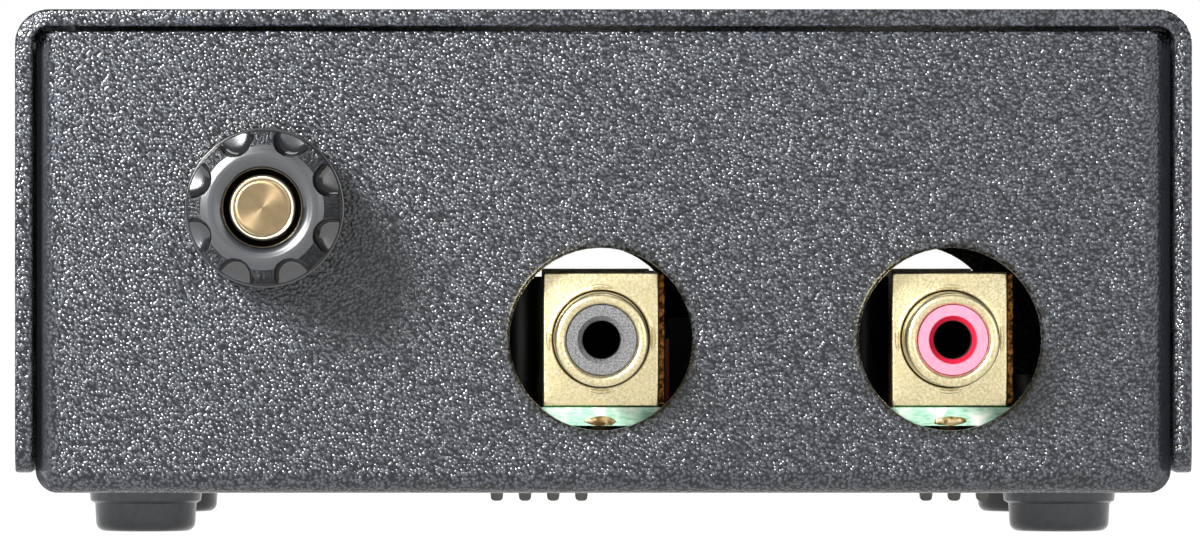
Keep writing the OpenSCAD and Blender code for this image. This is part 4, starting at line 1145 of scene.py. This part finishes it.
def threaded_rings(radius, first, last):
    """Rings of a threaded rod between two heights over the panel. The thread fades at both ends."""
    count = round(abs(last - first) / THREAD_PITCH * STEPS_A_TURN)
    fade = TURNS_TO_FADE * STEPS_A_TURN
    rings = []
    for row in range(count + 1):
        height = first + (last - first) * row / count
        depth = THREAD_DEPTH * min(1, (count - row) / fade, row / fade)
        ring = []
        for point in range(ROD_POINTS):
            turn = point / ROD_POINTS
            groove = abs(2 * ((height / THREAD_PITCH - turn) % 1) - 1)
            ring.append(cmath.rect(radius - depth * min(1, FLAT_ROOT * groove), 2 * math.pi * turn))
        rings.append(ring_at(ring, nut_x, panel_face - height, nut_z))
    return rings


print("thread:", THREAD_PITCH, "mm pitch, stud reaches", round(stud_reach, 1), "mm out of the panel")


# %% [markdown]
# ### The stud's shapes
#
# The stud is three turned shapes that overlap inside each other: the rod with its faced end, the collar, and
# the tail through the panel. They are joined in one piece, as they are on the real stud.

# %% Turn the stud
STUD_R = 2.88
TAIL_R = 2.5
COLLAR_R = 6.3
COLLAR_H = 2.0
COLLAR_EDGE = 0.3
COLLAR_FOOT = 0.1
OVERLAP = 0.1
END_CHAMFER = 0.35
END_DISC = 2.33
END_GROOVE = 2.42
END_DEPTH = 0.2
CROWN_RING = (2.46, 2.85)
CROWN_RISE = 0.12
CROWN_SET_BACK = 0.02
CROWN_SHARES = (0, 0.15, 0.35, 0.5, 0.65, 0.85, 1)
GROOVE_CLEAR = 0.02
DISC_EDGE = ((0.03, 0.0), (0.005, 0.06), (0.0, 0.3))
DISC_INNER_R = 0.6


def plain_ring(radius, height):
    """A circle round the stud's axis."""
    return ring_at(sweep_arc(0, radius, 0, 2 * math.pi, ROD_POINTS)[:-1], nut_x, panel_face - height, nut_z)


def stud_end():
    """Rings of the faced end, from the thread inwards to the middle: a crowned ring, a groove and a disc."""
    low_r, high_r = CROWN_RING
    top, groove_floor = stud_reach, stud_reach - END_DEPTH
    crown = [(top - CROWN_RISE * (2 * share - 1) ** 2 - CROWN_SET_BACK, high_r + (low_r - high_r) * share)
             for share in CROWN_SHARES]
    groove = [(groove_floor, END_GROOVE), (groove_floor, END_DISC + GROOVE_CLEAR)]
    edge = [(top - down, END_DISC - inwards) for down, inwards in DISC_EDGE]
    disc = [(top, DISC_INNER_R), (top, 0)]
    return [plain_ring(radius, height) for height, radius in crown + groove + edge + disc]


def collar_rings():
    """Rings of the collar, from the middle of its foot over its edge to the middle of its face."""
    outline = [(0, 0), (0, COLLAR_R - COLLAR_FOOT), (COLLAR_FOOT, COLLAR_R)]
    outline += curve_between((COLLAR_H - COLLAR_EDGE, COLLAR_R), (COLLAR_H, COLLAR_R),
                             (COLLAR_H, COLLAR_R - COLLAR_EDGE), 4)
    return [plain_ring(radius, height) for height, radius in outline + [(COLLAR_H, 0)]]


rod_foot = COLLAR_H - OVERLAP
stud_tail = panel_face - stud_high.y
rod = [plain_ring(0, rod_foot)] + threaded_rings(STUD_R, rod_foot, stud_reach - END_CHAMFER) + stud_end()
tail = [plain_ring(0, stud_tail)] + threaded_rings(TAIL_R, stud_tail, OVERLAP) + [plain_ring(0, OVERLAP)]
stud_shapes = join_shapes([loft(rod), loft(collar_rings()), loft(tail)])
stud = make_piece("threaded_stud", *stud_shapes, faced_brass, "brass", stands_for=["ground_stud"])
print("stud:", len(stud.data.vertices), "points")

# %% [markdown]
# ## The phono jacks
#
# A jack's case is folded from sheet and plated, so its edges are round; a CAD box has sharp ones, and a sharp
# metal edge never catches the lamp. Each case and its barrel are made as one stack of rings. The rings of the
# barrel are circles and those of the case are rectangles, and point for point they lie in the same direction
# from the axis, so that the flat front between the last circle and the first rectangle has no twist. A thin
# groove parts the barrel from the case, because the real barrel is a separate tube pressed in. The solder
# tails are cut from the CAD mesh. The barrel is staked at four places, each a small crescent of raised metal.

# %% Measure the jacks
CASE_EDGE = 0.22
CASE_HALF = 5.1
CASE_HEIGHT = 11.85
CASE_DEPTH = 10.0
CASE_WALL = 0.6
CASE_SET_BACK = 2.5
SIDE_POINTS = 28
BARREL_R = 4.1
BORE_R = 3.1
BARREL_LENGTH = 9.5
LIP = 0.45
LIP_TURNS = (0, 18, 36, 54, 72, 90)
ROOT_RING = (4.7, 0.06)
ROOT_GROOVE = (4.34, 0.9)
RING_EDGE = 0.04
RING_CREST = (0.2, 0.01)
RING_FOOT = (0.06, 0.015)

board_low, board_high = node_box("circuit_board")
case_foot, case_top = -JACK_AXIS_HEIGHT, CASE_HEIGHT - JACK_AXIS_HEIGHT
print("a jack's axis lies", -case_foot, "mm over the board, its case is", CASE_HEIGHT, "mm high")


# %% Stack the cases
def rectangle(side_inset, foot_inset):
    """The case's outline seen along the axis, made smaller by an inset, as complex numbers round the axis."""
    right, low, high = CASE_HALF - side_inset, case_foot + foot_inset, case_top - side_inset
    corners = [complex(right, low), complex(right, high), complex(-right, high), complex(-right, low)]
    return [first + (second - first) * step / SIDE_POINTS
            for first, second in zip(corners, corners[1:] + corners[:1]) for step in range(SIDE_POINTS)]


def root_levels():
    """(radius, distance in front of the case) of the groove and the low ring at the barrel's root."""
    ring_r, ring_height = ROOT_RING
    groove_r, groove_depth = ROOT_GROOVE
    crest_in, crest_down = RING_CREST
    foot_in, foot_height = RING_FOOT
    groove = [(BARREL_R, -groove_depth), (groove_r, -groove_depth), (groove_r, ring_height - RING_EDGE)]
    crest = [(groove_r + RING_EDGE, ring_height), (ring_r - crest_in, ring_height - crest_down)]
    return groove + crest + [(ring_r - foot_in, foot_height), (ring_r, 0)]


def barrel_levels():
    """(radius, distance in front of the case) from the bore over the lip to the root."""
    lip_start = BARREL_LENGTH - LIP
    turns = [math.radians(turn) for turn in LIP_TURNS]
    round_lip = [(LIP * math.cos(turn), LIP * math.sin(turn)) for turn in turns]
    inner = [(BORE_R + LIP - out, lip_start + forward) for out, forward in round_lip]
    outer = [(BARREL_R - LIP + out, lip_start + forward) for out, forward in round_lip[::-1]]
    return [(BORE_R, -CASE_WALL)] + inner + outer + root_levels()


def jack_levels():
    """(outline, distance in front of the case) from the barrel's bore, over the lip, to inside the case."""
    directions = [cmath.phase(point) for point in rectangle(0, 0)]
    levels = [([cmath.rect(radius, turn) for turn in directions], out) for radius, out in barrel_levels()]
    for turn in (0, 22, 45, 67, 90):
        inset = CASE_EDGE * (1 - math.sin(math.radians(turn)))
        levels.append((rectangle(inset, inset), CASE_EDGE * (math.cos(math.radians(turn)) - 1)))
    levels.append((rectangle(0, 0), -CASE_DEPTH))
    levels += [(rectangle(CASE_WALL, NEAR), -CASE_DEPTH), (rectangle(CASE_WALL, NEAR), -CASE_WALL)]
    levels.append(([cmath.rect(BORE_R, turn) for turn in directions], -CASE_WALL))
    return levels


def solder_tails(jack):
    """Corners and faces of the CAD case below the top of the board."""
    low_part = bmesh.new()
    low_part.from_mesh(nodes[jack + "_shell"].data)
    bmesh.ops.bisect_plane(low_part, geom=low_part.verts[:] + low_part.edges[:] + low_part.faces[:],
                           plane_co=(0, 0, (board_high.z - NEAR) * MM), plane_no=(0, 0, 1), clear_outer=True)
    corners = [corner.co / MM for corner in low_part.verts]
    faces = [tuple(corner.index for corner in face.verts) for face in low_part.faces]
    low_part.free()
    return corners, faces


def case_front(jack):
    """Where a case's front lies along Y, and which way leads into the case."""
    return (tray_low.y + CASE_SET_BACK, 1) if jack in INPUT_JACKS else (tray_high.y - CASE_SET_BACK, -1)


for jack in JACKS:
    middle, axis_z = jack_axis(jack)
    front, inwards = case_front(jack)
    rings = [ring_at(outline, middle, front - inwards * out, axis_z) for outline, out in jack_levels()]
    case = join_shapes([loft(rings), solder_tails(jack)])
    made = make_piece(jack + "_jack", *case, gold, "gold_plate", stands_for=[jack + "_shell"])
    print(made.name, "has", len(made.data.vertices), "points")

# %% [markdown]
# ### Stakes
#
# A barrel is held in its case by staking: a punch raises a little metal round the root ring at four places.
# Each stake is a thin tube bent round the axis, which swells from a point and back to one.

# %% Stake the barrels
STAKE_R = 4.62
STAKE_HALF_WIDTH = 0.17
STAKE_HEIGHT = 0.08
STAKE_SPREAD = 14
STAKE_STEPS = 8
STAKE_SIDES = 8
STAKE_TIP = 0.02
STAKES_AT = (0, 90, 180, 270)


def stake(turn_degrees, middle, front, axis_z):
    """A low crescent of raised metal, as rings across it, in the plane of the case's front."""
    rings = []
    for step in range(STAKE_STEPS + 1):
        share = 2 * step / STAKE_STEPS - 1
        turn = math.radians(turn_degrees + STAKE_SPREAD * share)
        size = math.sqrt(max(0.0, 1 - share ** 2)) + STAKE_TIP
        ring = []
        for point in range(STAKE_SIDES):
            around = 2 * math.pi * point / STAKE_SIDES
            radius = STAKE_R + STAKE_HALF_WIDTH * size * math.cos(around)
            ring.append((middle + radius * math.cos(turn), front + STAKE_HEIGHT * size * math.sin(around),
                         axis_z + radius * math.sin(turn)))
        rings.append(ring)
    return loft(rings, capped=True)


for jack in JACKS:
    middle, axis_z = jack_axis(jack)
    front, inwards = case_front(jack)
    on_ring_top = front - inwards * ROOT_RING[1]
    stakes = join_shapes([stake(turn, middle, on_ring_top, axis_z) for turn in STAKES_AT])
    make_piece(jack + "_staking", *stakes, gold, "gold_plate")
print("staked", len(JACKS), "barrels at", len(STAKES_AT), "places each")

# %% [markdown]
# ### Seams and solder
#
# The case's sheet closes with a seam along one side. Its brown is painted shade: the shaded side of the
# gold case. Under each case its earth lug is soldered to the board's edge. Solder wets the edge and sets as a
# low mound, so the blob is a dome with a wavy outline: noise of its own direction moves each point of a half
# ellipsoid. The same noise, which is alike in every run, makes the seam's outer edge waver.

# %% Painted shade for the seams, and flux
seam_painted_shade = Finish("tarnished seam", Metallic=1.0, Roughness=0.45)
# Painted shade: dark brown patches stand for the shaded side of the gold case.
patches = seam_painted_shade.spread(seam_painted_shade.grain(0.35, detail=3), 0.4, 0.62)
seam_painted_shade.set("Base Color", seam_painted_shade.blend(patches, rgb(36, 20, 9), rgb(140, 92, 44)))
seam_painted_shade.bump(seam_painted_shade.grain(0.3, detail=3), 0.05)

solder = Finish("fluxed solder", Metallic=0.6, Roughness=0.3)
flux = solder.spread(solder.grain(0.7, detail=3), 0.4, 0.6)
solder.set("Base Color", solder.blend(flux, rgb(104, 74, 32), rgb(206, 186, 140)))
solder.bump(solder.grain(0.3, detail=2), 0.03)
print("finishes:", seam_painted_shade.material.name, "and", solder.material.name)

# %% Fold the seams
SEAM_WIDTH = 0.62
SEAM_NARROWED = 0.88
SEAM_WAVER = 0.2
WAVES_PER_MM = 1.7
SEAM_SET_BACK = 0.9
SEAM_LENGTH = 7.5
SEAM_STEPS = 24
SEAM_FOOT = 0.3
SEAM_SHORTER = 0.5
SEAM_BURIED = 0.2
SEAM_EDGE = (0.1, 0.12)


def seam(edge_x, inwards, front):
    """A folded seam up one side of a case: a strip whose outer edge wavers."""
    near, far = front + inwards * SEAM_SET_BACK, front + inwards * (SEAM_SET_BACK + SEAM_LENGTH)
    inner = edge_x - SEAM_BURIED
    narrower, deeper = SEAM_EDGE
    rings = []
    for step in range(SEAM_STEPS + 1):
        height = board_high.z + SEAM_FOOT + (CASE_HEIGHT - SEAM_SHORTER) * step / SEAM_STEPS
        waver = noise.noise(Vector((edge_x, height * WAVES_PER_MM, 3)))
        out = edge_x + SEAM_WIDTH * (SEAM_NARROWED + SEAM_WAVER * waver)
        rings.append([(inner, near, height), (out - narrower, near, height),
                      (out, near + inwards * deeper, height), (out, far, height), (inner, far, height)])
    return loft(rings, capped=True)


for jack in JACKS:
    middle, _ = jack_axis(jack)
    front, inwards = case_front(jack)
    make_piece(jack + "_seam", *seam(middle + CASE_HALF, inwards, front), seam_painted_shade, "gold_plate")
print("seams of", SEAM_LENGTH, "mm on", len(JACKS), "cases")

# %% Drop the solder
BLOB_WIDTH = 1.5
BLOB_HEIGHT = 0.4
BLOB_OUT = 0.28
BLOB_SUNK = 0.05
BLOB_ROWS = 6
BLOB_POINTS = 20
BLOB_WAVE = 0.22
WAVE_SCALE = 1.5


def solder_blob(middle_x, edge_y, outwards):
    """A mound of solder on the board's edge, under a case."""
    rings = []
    for row in range(BLOB_ROWS + 1):
        tilt = math.radians(90 * row / BLOB_ROWS)
        y = edge_y + outwards * (BLOB_OUT * math.sin(tilt) - BLOB_SUNK)
        ring = []
        for step in range(BLOB_POINTS):
            turn = 2 * math.pi * step / BLOB_POINTS
            place = Vector((math.cos(turn) * WAVE_SCALE, math.sin(turn) * WAVE_SCALE, middle_x))
            size = math.cos(tilt) * (1 + BLOB_WAVE * noise.noise(place))
            ring.append((middle_x + BLOB_WIDTH * math.cos(turn) * size, y,
                         board_low.z + BLOB_HEIGHT * (1 + math.sin(turn) * size)))
        rings.append(ring)
    return loft(rings, capped=True)


for jack in JACKS:
    middle, _ = jack_axis(jack)
    _, inwards = case_front(jack)
    edge = board_low.y if inwards > 0 else board_high.y
    make_piece(jack + "_solder", *solder_blob(middle, edge, -inwards), solder, "bright_steel")
print("soldered", len(JACKS), "cases to the board's edges")

# %% [markdown]
# ## The end

# %% Finish
print("scene finished")
